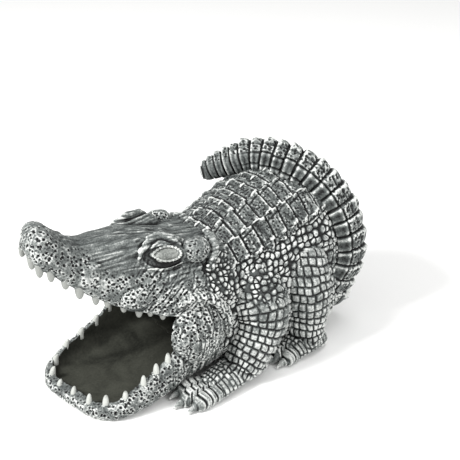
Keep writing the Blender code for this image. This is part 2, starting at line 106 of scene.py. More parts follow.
# Carving: how wide its pits, pebbles, scales and toe folds are; LEG_RADIUS is the legs' usual one
PLATE_PIT = 3.3
TAIL_PIT = 3.5
SNOUT_PIT = 3.6
JAW_PIT = 3.7
FLANK_PEBBLE = 6.6
SHOULDER_PEBBLE = 6.6
NAPE_PEBBLE = 5.6
LEG_SCALE = 8.2
LEG_RADIUS = 24.0
FOOT_SCALE = 5.3
TOE_FOLD = 7.2

# How fine the skin is: the length of a mesh edge
SKIN = 0.95
TRUNK_SKIN = 1.06


def chance(cells, seed=0):
    """A repeatable number from 0 to 1 for each whole-numbered cell (rows of 2 or 3)."""
    mixed = np.full(cells.shape[:-1], seed * 7919 + 17, dtype=np.uint64)
    for axis, factor in zip(range(cells.shape[-1]), (73856093, 19349663, 83492791)):
        whole = (cells[..., axis].astype(np.int64) + 1000003).astype(np.uint64)
        mixed = (mixed ^ (whole * np.uint64(factor))) * np.uint64(0x9E3779B97F4A7C15)
        mixed = mixed ^ (mixed >> np.uint64(29))
    return (mixed & np.uint64(0xFFFFFF)).astype(float) / 0xFFFFFF


def blur(places, seed=0, layers=1):
    """Smooth uneven value from -1 to 1 over places measured in cells."""
    total = 0.0
    weight = 0.0
    for layer in range(layers):
        p = places * 2.0 ** layer + 31.7 * layer
        base = np.floor(p)
        part = p - base
        part = part * part * (3 - 2 * part)
        dims = p.shape[1]
        value = np.zeros(len(p))
        for corner in range(2 ** dims):
            step = np.array([(corner >> k) & 1 for k in range(dims)], float)
            share = np.prod(np.where(step > 0, part, 1 - part), axis=1)
            value += share * chance(base + step, seed + layer)
        total = total + (2 * value - 1) * 0.5 ** layer
        weight += 0.5 ** layer
    return total / weight


def cells(places, seed=0, jitter=0.85):
    """Distance to the nearest cell middle, gap to the next one, and the cell's own chance."""
    base = np.floor(places)
    dims = places.shape[1]
    near = np.full(len(places), 9.0)
    second = np.full(len(places), 9.0)
    own = np.zeros(len(places))
    steps = np.array(np.meshgrid(*[[-1, 0, 1]] * dims, indexing="ij")).reshape(dims, -1).T
    for step in steps:
        cell = base + step
        middle = cell + 0.5
        for axis in range(dims):
            middle[:, axis] += jitter * (chance(cell, seed + 11 * axis) - 0.5)
        away = np.linalg.norm(places - middle, axis=1)
        closer = away < near
        second = np.where(closer, near, np.minimum(second, away))
        own = np.where(closer, chance(cell, seed + 5), own)
        near = np.where(closer, away, near)
    return near, second - near, own


def ease(low, high, value):
    """0 below low, 1 above high and smooth between them."""
    t = np.clip((value - low) / (high - low), 0, 1)
    return t * t * (3 - 2 * t)


def through(keys, values, at):
    """Smooth curve through the key values (one row per key), read at the given places."""
    keys = np.asarray(keys, float)
    values = np.asarray(values, float)
    at = np.atleast_1d(np.asarray(at, float))
    slopes = np.empty_like(values)
    step = np.diff(keys)[:, None]
    secant = np.diff(values, axis=0) / step
    slopes[0] = secant[0]
    slopes[-1] = secant[-1]
    slopes[1:-1] = (secant[:-1] * step[1:] + secant[1:] * step[:-1]) / (step[1:] + step[:-1])
    i = np.clip(np.searchsorted(keys, at) - 1, 0, len(keys) - 2)
    h = (keys[i + 1] - keys[i])[:, None]
    t = ((at - keys[i])[:, None]) / h
    return ((2 * t ** 3 - 3 * t ** 2 + 1) * values[i] + (t ** 3 - 2 * t ** 2 + t) * h * slopes[i]
            + (3 * t ** 2 - 2 * t ** 3) * values[i + 1] + (t ** 3 - t ** 2) * h * slopes[i + 1])


def through_rows(rows, at):
    """The same, with each row's key first in it."""
    rows = np.asarray(rows, float)
    return through(rows[:, 0], rows[:, 1:], at)


def round_loops(loops, count):
    """Closed loops of a few points each, drawn as smooth loops of count points."""
    loops = np.asarray(loops, float)
    have = loops.shape[1]
    at = np.arange(count) * have / count
    i = at.astype(int)
    t = (at - i)[None, :, None]
    a, b, c, d = (loops[:, (i + k) % have] for k in (-1, 0, 1, 2))
    return 0.5 * (2 * b + (c - a) * t + (2 * a - 5 * b + 4 * c - d) * t ** 2
                  + (3 * b - a - 3 * c + d) * t ** 3)


def add_object(name, data):
    obj = bpy.data.objects.new(name, data)
    bpy.context.scene.collection.objects.link(obj)
    return obj


def new_piece(name, verts, faces):
    """Object from points in millimetres and faces."""
    mesh = bpy.data.meshes.new(name)
    mesh.from_pydata((np.asarray(verts) * MM).tolist(), [], faces)
    bm = bmesh.new()
    bm.from_mesh(mesh)
    bmesh.ops.recalc_face_normals(bm, faces=bm.faces)
    if bm.calc_volume(signed=True) < 0:
        bmesh.ops.reverse_faces(bm, faces=bm.faces)
    bm.to_mesh(mesh)
    bm.free()
    return add_object(name, mesh)


def circle(count, start=0.0):
    """Angles of evenly spaced points round a circle."""
    return 2 * np.pi * (np.arange(count) + start) / count


def unit(rows):
    return rows / np.linalg.norm(rows, axis=1)[:, None]


def sides_of(way, lean):
    """Directions across each step of a line, and up from both; lean lies off the line."""
    across = unit(np.cross(way, lean))
    return across, np.cross(across, way)


def spokes(across, up, angles):
    """Directions out from each place on a line, at the angles round it."""
    return across[:, None] * np.cos(angles)[None, :, None] + up[:, None] * np.sin(angles)[None, :, None]


def run_length(points):
    """Length along a line of points, up to each of them."""
    return np.concatenate([[0], np.cumsum(np.linalg.norm(np.diff(points, axis=0), axis=1))])


def both_sides(half, y, middle=0.0):
    """Closed loop at y from the x and z of one side's points, which start and end at the middle."""
    return [(middle + x, y, z) for x, z in half] + [(middle - x, y, z) for x, z in half[1:-1]][::-1]


def wall(count, around, steps):
    """Four-sided faces between rings of points, over that many steps from ring to ring."""
    i, j = np.meshgrid(np.arange(steps), np.arange(around), indexing="ij")
    k = (j + 1) % around
    ahead = (i + 1) % count * around
    quads = [i * around + j, i * around + k, ahead + k, ahead + j]
    return np.stack(quads, axis=-1).reshape(-1, 4).tolist()


def tube(rings):
    """Points and faces of a closed tube of rings, with a fan at each end."""
    rings = np.asarray(rings, float)
    count, around = rings.shape[:2]
    verts = np.concatenate([rings.reshape(-1, 3), [rings[0].mean(axis=0)], [rings[-1].mean(axis=0)]])
    faces = wall(count, around, count - 1)
    near = count * around
    last = near - around
    for j in range(around):
        k = (j + 1) % around
        faces.append((near, k, j))
        faces.append((near + 1, last + j, last + k))
    return verts, faces


def ball(centre, radii, segments=32, rings=20):
    """Points and faces of an egg form with its poles along z."""
    lat = np.pi * np.arange(1, rings)[:, None] / rings
    lon = circle(segments)
    grid = [np.sin(lat) * np.cos(lon), np.sin(lat) * np.sin(lon), np.cos(lat) * np.ones(segments)]
    return tube(np.asarray(centre, float) + np.stack(grid, axis=-1) * radii)


def egg(centre, axes, radii, segments=40, rings=26):
    """Points and faces of an egg form with its own three directions."""
    verts, faces = ball((0.0, 0.0, 0.0), radii, segments, rings)
    return np.asarray(centre, float) + verts @ np.asarray(axes, float), faces


def roll(path, thick, around=16, count=50):
    """Raised fold: a closed round bar along a smooth line, with a thickness at each point."""
    keys = np.linspace(0, 1, len(path))
    rows = np.column_stack([np.asarray(path, float), thick])
    line = through(keys, rows, np.linspace(0, 1, count))
    from_end = np.minimum(np.arange(count) + 0.4, count - np.arange(count) - 0.6)
    line[:, 3] *= np.sqrt(np.clip(from_end / 3, 0, 1))
    ring = spokes(*sides_of(unit(np.gradient(line[:, :3], axis=0)), (0.13, 0.21, 0.97)), circle(around))
    return tube(line[:, None, :3] + line[:, None, 3:] * ring)


def hoop(points, normal, thick, around=12):
    """Closed round bar along a closed line of points lying about square to normal."""
    way = unit(np.roll(points, -1, axis=0) - np.roll(points, 1, axis=0))
    ring = spokes(*sides_of(way, normal), circle(around))
    return (points[:, None] + thick * ring).reshape(-1, 3), wall(len(points), around, len(points))


def joined(forms):
    """Several closed forms as one list of points and faces."""
    verts = []
    faces = []
    at = 0
    for v, f in forms:
        verts.append(v)
        faces += [tuple(k + at for k in face) for face in f]
        at += len(v)
    return np.concatenate(verts), faces


def read(rows, field, width, kind=float):
    """One field of a mesh's points or edges, as rows of numbers."""
    values = np.empty(len(rows) * width, dtype=kind)
    rows.foreach_get(field, values)
    return values.reshape(-1, width)


def get_points(obj):
    return read(obj.data.vertices, "co", 3) / MM


def get_normals(obj):
    return read(obj.data.vertices, "normal", 3)


def get_edges(obj):
    return read(obj.data.edges, "vertices", 2, np.int32)


def set_points(obj, points):
    obj.data.vertices.foreach_set("co", (points * MM).ravel())
    obj.data.update()


def evened(values, edges, steps, share=0.5):
    """Values per point drawn towards the mean of their neighbours, some steps over."""
    ends = np.concatenate([edges[:, 0], edges[:, 1]])
    others = np.concatenate([edges[:, 1], edges[:, 0]])
    count = np.maximum(np.bincount(ends, minlength=len(values)), 1)[:, None]
    values = values.copy()
    for _ in range(steps):
        total = np.stack([np.bincount(ends, weights=values[others, k], minlength=len(values))
                          for k in range(values.shape[1])], axis=1)
        values += share * (total / count - values)
    return values


def run_modifier(obj, kind, **settings):
    """Runs one modifier and keeps the mesh that it gives."""
    mod = obj.modifiers.new(kind.lower(), kind)
    for name, value in settings.items():
        setattr(mod, name, value)
    depsgraph = bpy.context.evaluated_depsgraph_get()
    mesh = bpy.data.meshes.new_from_object(obj.evaluated_get(depsgraph))
    obj.modifiers.clear()
    obj.data = mesh


def cast(name, forms, soften):
    """Closed forms run together into one even skin, with their joins softened."""
    obj = new_piece(name, *joined(forms))
    run_modifier(obj, "REMESH", mode="VOXEL", voxel_size=SKIN * MM, adaptivity=0)
    points = get_points(obj)
    edges = get_edges(obj)
    for _ in range(soften):
        points = evened(points, edges, 1, 0.5)
        points = evened(points, edges, 1, -0.51)
    set_points(obj, points)
    return obj


def raise_skin(obj, rise):
    """Moves each point out along its normal by rise, in millimetres."""
    points = get_points(obj) + get_normals(obj) * rise[:, None]
    points[:, 2] = np.maximum(points[:, 2], 0.0)
    set_points(obj, points)


def keep(obj, **layers):
    """Keeps numbers at each point, for the paint."""
    for name, values in layers.items():
        layer = obj.data.attributes.new(name, "FLOAT", "POINT")
        layer.data.foreach_set("value", np.asarray(values, dtype=np.float32))


def keep_relief(obj):
    """Keeps how far each point stands proud of the skin close round it, and further round it."""
    points = get_points(obj)
    normals = get_normals(obj)
    edges = get_edges(obj)
    close = evened(points, edges, 3)
    far = evened(close, edges, 22)
    steady = evened(normals, edges, 4)
    steady /= np.linalg.norm(steady, axis=1)[:, None] + 1e-9
    keep(obj, proud_close=((points - close) * steady).sum(axis=1),
         proud_far=((close - far) * steady).sum(axis=1))


def cut(obj, tool):
    """Cuts the tool's form out of the piece."""
    run_modifier(obj, "BOOLEAN", operation="DIFFERENCE", solver="MANIFOLD", object=tool)
    bpy.data.objects.remove(tool, do_unlink=True)


def line_distance(points, path):
    """Distance of each point from a line through the path's points."""
    path = np.asarray(path, float)
    best = np.full(len(points), 1e9)
    for a, b in zip(path[:-1], path[1:]):
        span = b - a
        t = np.clip(((points - a) @ span) / (span @ span), 0, 1)
        best = np.minimum(best, np.linalg.norm(points - a - t[:, None] * span, axis=1))
    return best


def evenly(points):
    """The points with both sides of the animal folded onto its left."""
    return np.column_stack([np.abs(points[:, 0]), points[:, 1:]])


def round_pits(places, seed, bare, rim=(0.24, 0.50)):
    """1 in a round pit and 0 outside; bare is the share of the cells that have none."""
    near, _, own = cells(places, seed)
    return (1 - ease(*rim, near)) * (own > bare)


def pebble_domes(places, seed, jitter):
    """Height of rounded pebbles with open gaps between them; places are in cells."""
    near, gap, own = cells(places, seed, jitter)
    return (2.3 + 1.3 * own) * np.clip(1 - (near / 0.66) ** 2.4, 0, 1) * ease(0.0, 0.3, gap) - 1.5


def pebbles(p, size, seed):
    """Height of pebbles of this size, for points in space."""
    bent = p / size + 0.2 * np.stack([blur(p / 9, seed + k) for k in (1, 2, 3)], axis=1)
    return pebble_domes(bent, seed, 0.75)


# Trunk
def trunk_sizes(y):
    """Half width, height of the widest line, top and bottom at each y."""
    w = TRUNK_HALF_WIDTH
    b = BELLY_HEIGHT
    rise = TRUNK_TOP_REAR - TRUNK_TOP_FRONT
    keys = [0.0, 0.15, 0.35, 0.62, 0.85, 1.0]
    rows = [(0.74 * w, 78.0, TRUNK_TOP_FRONT, b + 14),
            (0.88 * w, 80.0, TRUNK_TOP_FRONT + 0.17 * rise, b + 6),
            (0.97 * w, 85.0, TRUNK_TOP_FRONT + 0.50 * rise, b),
            (w, 95.0, TRUNK_TOP_FRONT + 0.85 * rise, b),
            (0.98 * w, 96.0, TRUNK_TOP_REAR, b),
            (0.93 * w, 92.0, TRUNK_TOP_REAR - 0.22 * rise, b + 2)]
    at = (np.atleast_1d(y) - TRUNK_FRONT) / (TRUNK_REAR - TRUNK_FRONT)
    return through(keys, rows, at)


def trunk_grid(y, angles):
    """Points of the trunk's cross sections, one row of points for each y."""
    w, mid, top, bottom = (v[:, None] for v in trunk_sizes(y).T)
    s = np.sin(np.radians(angles))
    c = np.cos(np.radians(angles))
    x = np.where(c >= 0, w * s, w * np.sign(s) * np.abs(s) ** LOWER_SQUARE)
    z = np.where(c >= 0, mid + (top - mid) * c, mid - (mid - bottom) * np.abs(c) ** LOWER_SQUARE)
    return np.stack([x, np.broadcast_to(y[:, None], x.shape), z], axis=-1)


def build_trunk():
    y = np.arange(TRUNK_FRONT, TRUNK_REAR + 0.1, TRUNK_SKIN)
    y[-1] = TRUNK_REAR
    fine = np.linspace(0, 180, 1801)
    half = trunk_grid(y, np.broadcast_to(fine, (len(y), len(fine))))
    steps = np.linalg.norm(np.diff(half, axis=1), axis=2)
    length = np.concatenate([np.zeros((len(y), 1)), np.cumsum(steps, axis=1)], axis=1)

    # Most of the points go round the back and flanks, and few under the belly
    share = np.concatenate([np.linspace(0, 0.77, 208), np.linspace(0.77, 1, 24)[1:]])
    angle = np.array([np.interp(share * row[-1], row, fine) for row in length])
    reach = share * length[:, -1:]
    angle, reach = (np.concatenate([v, -v[:, -2:0:-1]], axis=1) for v in (angle, reach))
    obj = new_piece("trunk", *tube(trunk_grid(y, angle)))

    # Place on the skin: angle from the back's middle, millimetres round it and along it
    a = np.abs(angle).ravel()
    u = reach.ravel()
    v = np.repeat(y, angle.shape[1])
    per_degree = np.abs(u) / np.maximum(a, 0.5)
    across = np.stack([u, v], axis=1)

    # Bands of plates with a nub on each
    row_of = sum((a > keel) * 1.0 for keel in KEEL_ANGLES)
    band = (v + 1.1 * blur(across / 22, 3) + 2.6 * np.sin(2.1 * row_of) - BAND_FIRST) / BAND_PITCH
    number = np.floor(band)
    part = band - number
    edge = np.minimum(part, 1 - part) * BAND_PITCH
    strip = np.stack([number, row_of], axis=1)
    rise = SCUTE_RISE * (0.35 + 0.65 * part) + 0.7 * (chance(strip, 12) - 0.5)
    rise -= 2.7 * np.exp(-(edge / 1.15) ** 2)
    for row, keel in enumerate(KEEL_ANGLES):
        lot = np.stack([number, number * 0 + row], axis=1)
        sway = chance(lot, 8) * 3.0 - 1.5
        off = (a - keel) * per_degree + sway + 2.5 * (part - 0.5)
        wide = 2.3 + 1.2 * chance(lot, 13)
        bar = np.exp(-(off / wide) ** 2) * ease(0.30, 0.62, part) * (1 - ease(0.88, 1.0, part))
        rise += KEEL_RISE * (0.3 + 0.5 * chance(lot, 14)) * bar
        rise -= 1.3 * np.exp(-((off - wide - 1.9) / 1.0) ** 2) * ease(0.1, 0.5, chance(lot, 15))
    rise += 0.9 * blur(across / 7, 21, 3)
    rise += 0.6 * blur(across / np.array([6.5, 1.9]), 22, 2)
    rise -= 0.9 * round_pits(across / PLATE_PIT, 4, 0.45, (0.18, 0.44))

    # Pebbles down the flanks, calmer under the belly
    bent = across / (FLANK_PEBBLE + 1.0 * ease(-40, 70, v))[:, None]
    bent += 0.25 * np.stack([blur(bent * 0.5, 5), blur(bent * 0.5, 6)], axis=1)
    dome = pebble_domes(bent, 7, 0.7) + 0.25 * blur(across / 2.2, 9)
    jag = PLATES_END - 4.0 * ease(-20, -60, v) + 2.2 * blur(np.stack([v / 9, v * 0], axis=1), 10)
    flank = ease(-1.0, 1.2, (a - jag) * per_degree)
    rise = rise * (1 - flank) + dome * flank * (1 - 0.7 * ease(118, 150, a))

    # Plain rear rim, and room for the tail's root
    rise *= ease(0, 4, TRUNK_REAR - v)
    rise -= 3.0 * (1 - ease(0, 5, TRUNK_REAR - v)) ** 2
    full = np.concatenate([rise, [0.0, 0.0]])
    p = get_points(obj)
    away = line_distance(p, [row[:3] for row in TAIL_KEYS])
    full -= 6.5 * (1 - ease(22, 38, away)) * ease(0, 25, p[:, 0])
    raise_skin(obj, full)
    plates = np.concatenate([1 - flank, [0.0, 0.0]])
    keep(obj, pitted=plates, smooth_dark=0.45 + 0.05 * plates)
    return obj


# Head: share of the way from pivot to snout tip, height of the top, then half width and height of
# the roof's edge, of the cheek and of the lip
HEAD_KEYS = [
    (-0.16, 143, 36, 138, 62, 108, 60, 84),
    (0.03, 146, 38, 143, 67, 110, 66, 87),
    (0.24, 155, 35, 152, 61, 116, 62, 89),
    (0.42, 161, 26, 156, 49, 120, 50, 96),
    (0.58, 164, 21, 158, 39, 128, 38, 106),
    (0.73, 167, 18, 162, 31, 141, 29, 122),
    (0.84, 180, 18, 174, 28, 154, 25, 136.5),
    (0.92, 190, 18, 184, 26, 165, 21, 148.5),
    (0.98, 187, 14, 182, 20, 168, 15, 155),
    (1.01, 180, 7, 177, 11, 170, 8, 163),
]
HEAD_ENDS = (HEAD_KEYS[0][0], HEAD_KEYS[-1][0])


def turned(points, yaw=HEAD_YAW):
    """Turns points about the neck, + swings the snout toward the right side."""
    a = math.radians(yaw)
    p = np.array(points, float)
    x = p[..., 0].copy()
    y = p[..., 1] - HEAD_PIVOT
    p[..., 0] = x * math.cos(a) + y * math.sin(a)
    p[..., 1] = HEAD_PIVOT - x * math.sin(a) + y * math.cos(a)
    return p


def head_sizes(share):
    return through_rows(HEAD_KEYS, share)


def head_form():
    share = np.linspace(*HEAD_ENDS, 130)
    loops = []
    for s, (top, rw, rz, cw, cz, lw, lz) in zip(share, head_sizes(share)):
        depth = top - lz
        half = [(0.0, top), (0.5 * rw, top - 0.1 * (top - rz)), (rw, rz),
                (0.5 * (rw + cw) + 0.05 * cw, 0.45 * rz + 0.55 * cz), (cw, cz),
                (0.5 * (cw + lw) + 1.5, 0.5 * (cz + lz)), (lw, lz), (0.82 * lw, lz + 0.05 * depth),
                (0.5 * lw, lz + 0.16 * depth), (0.0, lz + 0.22 * depth)]
        y = HEAD_PIVOT + s * (SNOUT_TIP - HEAD_PIVOT)
        loops.append(both_sides(half, y))
    return tube(turned(round_loops(loops, 144)))


# Eye on the left side, before the head is turned: middle of the opening, then the directions
# along the opening to the front, up across it and out of the head
EYE_MIDDLE = np.array([42.5, -121.0, 149.0])
EYE_AXES = np.array([[-0.386, -0.922, 0.0], [-0.577, 0.242, 0.780], [0.719, -0.301, 0.625]])
EYE_HALF_LONG = 13.2
EYE_HALF_HIGH = 6.9
BROW_LINE = [(35.5, -149, 142), (34, -146, 148), (31, -140, 155), (28, -133, 160), (27, -125, 163),
             (28.5, -118, 162.5), (32, -112, 159.5), (36, -107, 155), (39, -103.5, 151.5)]
UNDER_EYE_LINE = [(36, -149, 142.5), (41, -141, 138), (46, -130, 136.5), (49, -119, 137.5),
                  (50.5, -108, 141)]
NECK_FLAP_LINE = [(12, -64, 145), (27, -65, 146), (40, -68, 143), (50, -75, 136), (56, -84, 127)]
EAR_BUMP = (40.0, -89.0, 143.0)


def eye_ring(spread, lift, count):
    """Points round the eye opening, pointed at the front corner."""
    a = circle(count)
    u = EYE_HALF_LONG * spread * np.cos(a)
    v = EYE_HALF_HIGH * spread * np.sin(a) * (1 - 0.5 * np.maximum(np.cos(a), 0) ** 2)
    out = lift - 3.2 * (u / EYE_HALF_LONG) ** 2 - 1.2 * (v / EYE_HALF_HIGH) ** 2
    return EYE_MIDDLE + np.stack([u, v, out], axis=1) @ EYE_AXES


def head_extras():
    """Left side's brow, lids, bump behind the eye and lip swellings, before the head is turned."""
    mound = EYE_MIDDLE - EYE_AXES[2] * 7.0
    return [egg(mound, EYE_AXES, (19, 12.5, 7.5)),
            hoop(eye_ring(1.0, 1.0, 60), EYE_AXES[2], 1.9),
            ball((27.0, -119.0, 147.0), (13, 24, 14)),
            roll(BROW_LINE, [1.2, 2.0, 2.8, 3.2, 3.4, 3.2, 3.0, 2.8, 1.8]),
            roll(UNDER_EYE_LINE, [1.0, 1.3, 1.5, 1.5, 1.2]),
            ball(EAR_BUMP, (12.5, 15, 12.5)),
            roll(NECK_FLAP_LINE, [3.0, 4.5, 5.0, 5.0, 3.5]),
            ball((25.0, -193.0, 138.0), (9.5, 17, 14)),
            ball((46.0, -150.0, 112.0), (8, 22, 13))]


def build_head():
    forms = [head_form()]
    for side in (1, -1):
        for verts, faces in head_extras():
            low = 3.0 if side < 0 and verts[:, 1].mean() > -100 else 0.0
            forms.append((turned(verts * (side, 1, 1) - (0, 0, low)), faces))
    obj = cast("upper_head", forms, 7)
    p = get_points(obj)
    n = get_normals(obj)
    local = turned(p, -HEAD_YAW)
    even = evenly(local)
    share = (HEAD_PIVOT - local[:, 1]) / (HEAD_PIVOT - SNOUT_TIP)
    top, *_, lip_height = head_sizes(np.clip(share, *HEAD_ENDS)).T
    level = (local[:, 2] - lip_height) / (top - lip_height)
    # Downward faces low on the head: kept smooth, and the paint darkens them as painted shade under the lip
    below = ease(-0.2, -0.6, n[:, 2]) * ease(0.5, 0.2, level)

    # Eye: place in its opening, the lid's ring and the calm socket round it
    u, v, w = ((even - EYE_MIDDLE) @ EYE_AXES.T).T
    near_eye = ease(-16, -10, w)
    high = EYE_HALF_HIGH * (1 - 0.5 * np.clip(u / EYE_HALF_LONG, 0, 1) ** 2)
    ring = np.hypot(u / EYE_HALF_LONG, v / high)
    socket = np.hypot((u - 3.0) / 22.0, (v + 2.5) / 11.5)
    calm_eye = (1 - ease(0.85, 1.0, socket)) * near_eye
    bump = 1 - ease(0.8, 1.1, np.linalg.norm((even - EAR_BUMP) / (14, 17, 15), axis=1))

    # Pits on the snout's tip, along the lip and on the bump behind the eye
    tip = ease(0.62, 0.78, share + 0.10 * blur(p / 14, 44))
    tip *= 1 - ease(0.80, 1.0, level) * ease(0.95, 0.80, share)
    lip = (1 - ease(0.42, 0.66, level + 0.14 * blur(p / 12, 45))) * ease(-0.02, 0.06, share)
    pits = np.clip(np.maximum(np.maximum(tip, lip), bump), 0, 1) * (1 - below) * (1 - calm_eye)
    hole = round_pits(p / SNOUT_PIT, 31, 0.10)
    rise = (0.6 + 0.8 * blur(p / 4.5, 47, 2) - 1.8 * hole) * pits

    # Slanting wrinkles on the cheek, grain along the snout and folds over the brow
    slant = local @ np.array([[0.9, 0.1, -0.3], [0.1, 0.68, 0.70], [0.3, -0.70, 0.65]]).T
    hatch = blur(slant / (5.0, 26.0, 3.4), 46, 2)
    cheek = ease(0.52, 0.36, share) * ease(0.85, 0.6, level)
    rise -= 1.4 * np.clip(1 - np.abs(hatch) * 3.0, 0, 1) * cheek * (1 - calm_eye) * (1 - below)
    run = local / (5.5, 34.0, 2.6)
    grain = blur(run + 0.5 * blur(local / 16, 41)[:, None], 40, 3)
    smooth = (1 - pits) * (1 - calm_eye) * (1 - below)
    rise += (1.5 * grain + 0.9 * blur(local / (3.2, 17.0, 2.4), 48)) * smooth
    rise += 0.7 * blur(p / 11, 43, 2) * (1 - calm_eye)
    away = line_distance(even, BROW_LINE)
    fold = np.exp(-((away - 5.0) / 1.1) ** 2) + 0.7 * np.exp(-((away - 9.5) / 1.2) ** 2)
    fold *= ease(-146, -138, even[:, 1]) * ease(-102, -108, even[:, 1]) * ease(1.5, 1.8, ring)
    rise -= 1.5 * fold
    rise -= 2.6 * (1 - ease(0.72, 0.9, ring)) * near_eye
    rise -= 1.7 * ease(1.12, 1.3, ring) * (1 - ease(0.80, 0.95, socket)) * near_eye

    nape = ease(-93, -85, local[:, 1] + 4 * blur(p / 12, 49)) * ease(139, 133, p[:, 2])
    rise = rise * (1 - nape) + pebbles(p, NAPE_PEBBLE, 91) * nape
    raise_skin(obj, rise)
    fang = np.exp(-(np.linalg.norm((even - (25, -193, 136)) / (13, 19, 13), axis=1)) ** 4)
    # Darker paint in the eye's socket and on the nape, paler over the fang's swelling, and painted shade on
    # the downward faces under the lip
    dark = np.clip(0.5 * calm_eye * ease(0.8, 0.9, ring) + below, 0, 1)
    keep(obj, pitted=pits * (1 - nape), smooth_dark=dark + 0.4 * nape - 0.8 * fang)
    return obj


# Lower jaw: distance from the tip, share of the half width, rim height, bottom height
JAW_KEYS = [
    (0.0, 0.42, 11, 4), (3.0, 0.62, 13, 1.5), (8.0, 0.76, 15, 0), (15.0, 0.88, 18, 0),
    (26.0, 0.96, 22, 0), (40.0, 1.00, 29, 0), (55.0, 1.00, 35, 2), (72.0, 1.02, 43, 5),
    (86.0, 1.03, 52, 8), (95.0, 1.04, 66, 10), (102.0, 1.05, 84, 12), (112.0, 1.06, 95, 14),
    (135.0, 1.06, 104, 17), (160.0, 1.02, 106, 20),
]


def jaw_sizes(d):
    return through_rows(JAW_KEYS, d)


def jaw_skew(x, d):
    """How far back the jaw's front is set askew, at x and distance d from the tip."""
    return JAW_SKEW * x * np.clip((SKEW_END - d) / SKEW_FADE, 0, 1)


def jaw_place(points):
    """Points given as x, distance from the tip and height, set where the jaw stands."""
    p = np.array(points, float)
    p[..., 1] = JAW_TIP + p[..., 1] + jaw_skew(p[..., 0], p[..., 1])
    p[..., 2] = np.maximum(p[..., 2], 0.0)
    return p


# Lower teeth: how far along the rim each one stands from the middle of the front
LOWER_TEETH_LEFT = (2.6, 25.0, 43.0, 62.0, 83.0, 101.0, 118.0, 137.0)
LOWER_TEETH_RIGHT = (19.0, 38.0, 57.0, 76.0, 95.0, 114.0, 133.0)


def lower_gums():
    """Middle of each lower tooth's root on the rim of the jaw."""
    d = np.linspace(0, 105, 421)
    sizes = jaw_sizes(d)
    x = np.concatenate([[0.0], sizes[:, 0] * JAW_HALF_WIDTH - GUM_INSET])
    y = np.concatenate([[0.0], d]) + GUM_INSET
    z = np.concatenate([[sizes[0, 1]], sizes[:, 1]])
    length = run_length(np.stack([x, y, z], axis=1))
    places = []
    for side, row in ((1, LOWER_TEETH_LEFT), (-1, LOWER_TEETH_RIGHT)):
        for s in row:
            px, py, pz = (np.interp(s, length, v) for v in (x, y, z))
            places.append(jaw_place([(px * side, py, pz)])[0])
    return places


def jaw_form():
    places = np.concatenate([np.linspace(0, 16, 17), np.linspace(17.5, 160, 96)])
    loops = []
    for d, (part, rim, bottom) in zip(places, jaw_sizes(places)):
        w = part * JAW_HALF_WIDTH
        h = rim - bottom
        half = [(0.0, rim), (0.8 * w, rim), (0.95 * w, rim - 0.04 * h), (w, rim - 0.25 * h),
                (w, bottom + 0.45 * h), (0.97 * w, bottom + 0.2 * h), (0.88 * w, bottom + 0.03 * h),
                (0.75 * w, bottom), (0.4 * w, bottom), (0.0, bottom)]
        loops.append(both_sides(half, d))
    return tube(jaw_place(round_loops(loops, 144)))


JAW_FOLD_LINE = [(55, -131, 100), (57.5, -124, 106), (62, -115, 109), (66, -105, 107.5), (69, -94, 100),
                 (69.5, -85, 87), (69, -79, 70), (67, -77, 52)]
JAW_CREASE_LINE = [(57, -130, 95), (61, -121, 100.5), (66, -112, 102), (70, -102, 100), (73, -93, 92),
                   (74, -86, 80), (73, -82, 66), (70, -80, 50)]


def build_jaw():
    forms = [jaw_form()]
    fold, faces = roll(JAW_FOLD_LINE, [2.5, 3.5, 4.5, 5.0, 5.2, 5.0, 4.5, 3.0])
    for side in (1, -1):
        forms.append(ball((57.0 * side, -109.0, 65.0), (19.5, 30, 33)))
        forms.append((fold * (side, 1, 1), faces))
    for x, y, z in lower_gums():
        forms.append(ball((x, y, z - 1.5), (5.2, 5.2, 4.2), 20, 14))
    obj = cast("lower_jaw", forms, 7)
    p = get_points(obj)
    n = get_normals(obj)
    rise = 0.6 + 0.8 * blur(p / 4.5, 62, 2) - 1.8 * round_pits(p / JAW_PIT, 61, 0.10)
    rim = ease(0.75, 0.95, n[:, 2]) * (p[:, 1] < -125)
    rise *= 1 - 0.6 * rim

    # Skin hanging in folds over the jowl, and the crease at the jaw's corner
    jowl = ease(-152, -128, p[:, 1])
    drape = p / (10.0, 4.6, 30.0)
    lines = blur(drape + 0.5 * blur(p / 20, 66)[:, None], 65, 2)
    rise -= 1.5 * np.clip(1 - np.abs(lines) * 3.4, 0, 1) * jowl
    away = line_distance(evenly(p), JAW_CREASE_LINE)
    rise -= 2.8 * np.exp(-(away / 2.0) ** 2)
    rise += 0.9 * blur(p / 12, 67, 2)
    raise_skin(obj, rise)
    keep(obj, pitted=np.ones(len(p)), smooth_dark=np.zeros(len(p)))
    return obj


# Legs on the left side: centre line x, y, z and radius; the right side is the mirror image
FRONT_LEG = [(46, -40, 102, 18), (56, -38, 94, 25), (66, -36, 79, 29), (72, -38, 61, 27),
             (75, -48, 42, 24), (76, -60, 26, 21), (77, -70, 14, 18)]
HIND_LEG = [(50, 32, 112, 16), (61, 30, 102, 21), (69, 26, 86, 25), (74, 24, 65, 25),
            (76, 24, 46, 22), (78, 22, 28, 19), (80, 22, 14, 16)]
FRONT_FOOT = [(73, -36, 6, 8), (73, -44, 9, 13), (73, -56, 11, 16), (74, -76, 12, 18.5),
              (76, -96, 11, 19), (77, -112, 9, 17)]
HIND_FOOT = [(78, 47, 6, 7), (78, 41, 8, 12), (78, 32, 11, 16), (78, 16, 12, 18), (78, 0, 10, 16),
             (79, -10, 8, 13)]
FRONT_TOES = [((66, -104), (60, -136)), ((77, -108), (74, -142)), ((87, -102), (88, -136))]
HIND_TOES = [((70, 0), (64, -22)), ((78, -4), (76, -27)), ((87, 2), (88, -20))]


def smooth_line(rows, count):
    return through(np.linspace(0, 1, len(rows)), rows, np.linspace(0, 1, count))


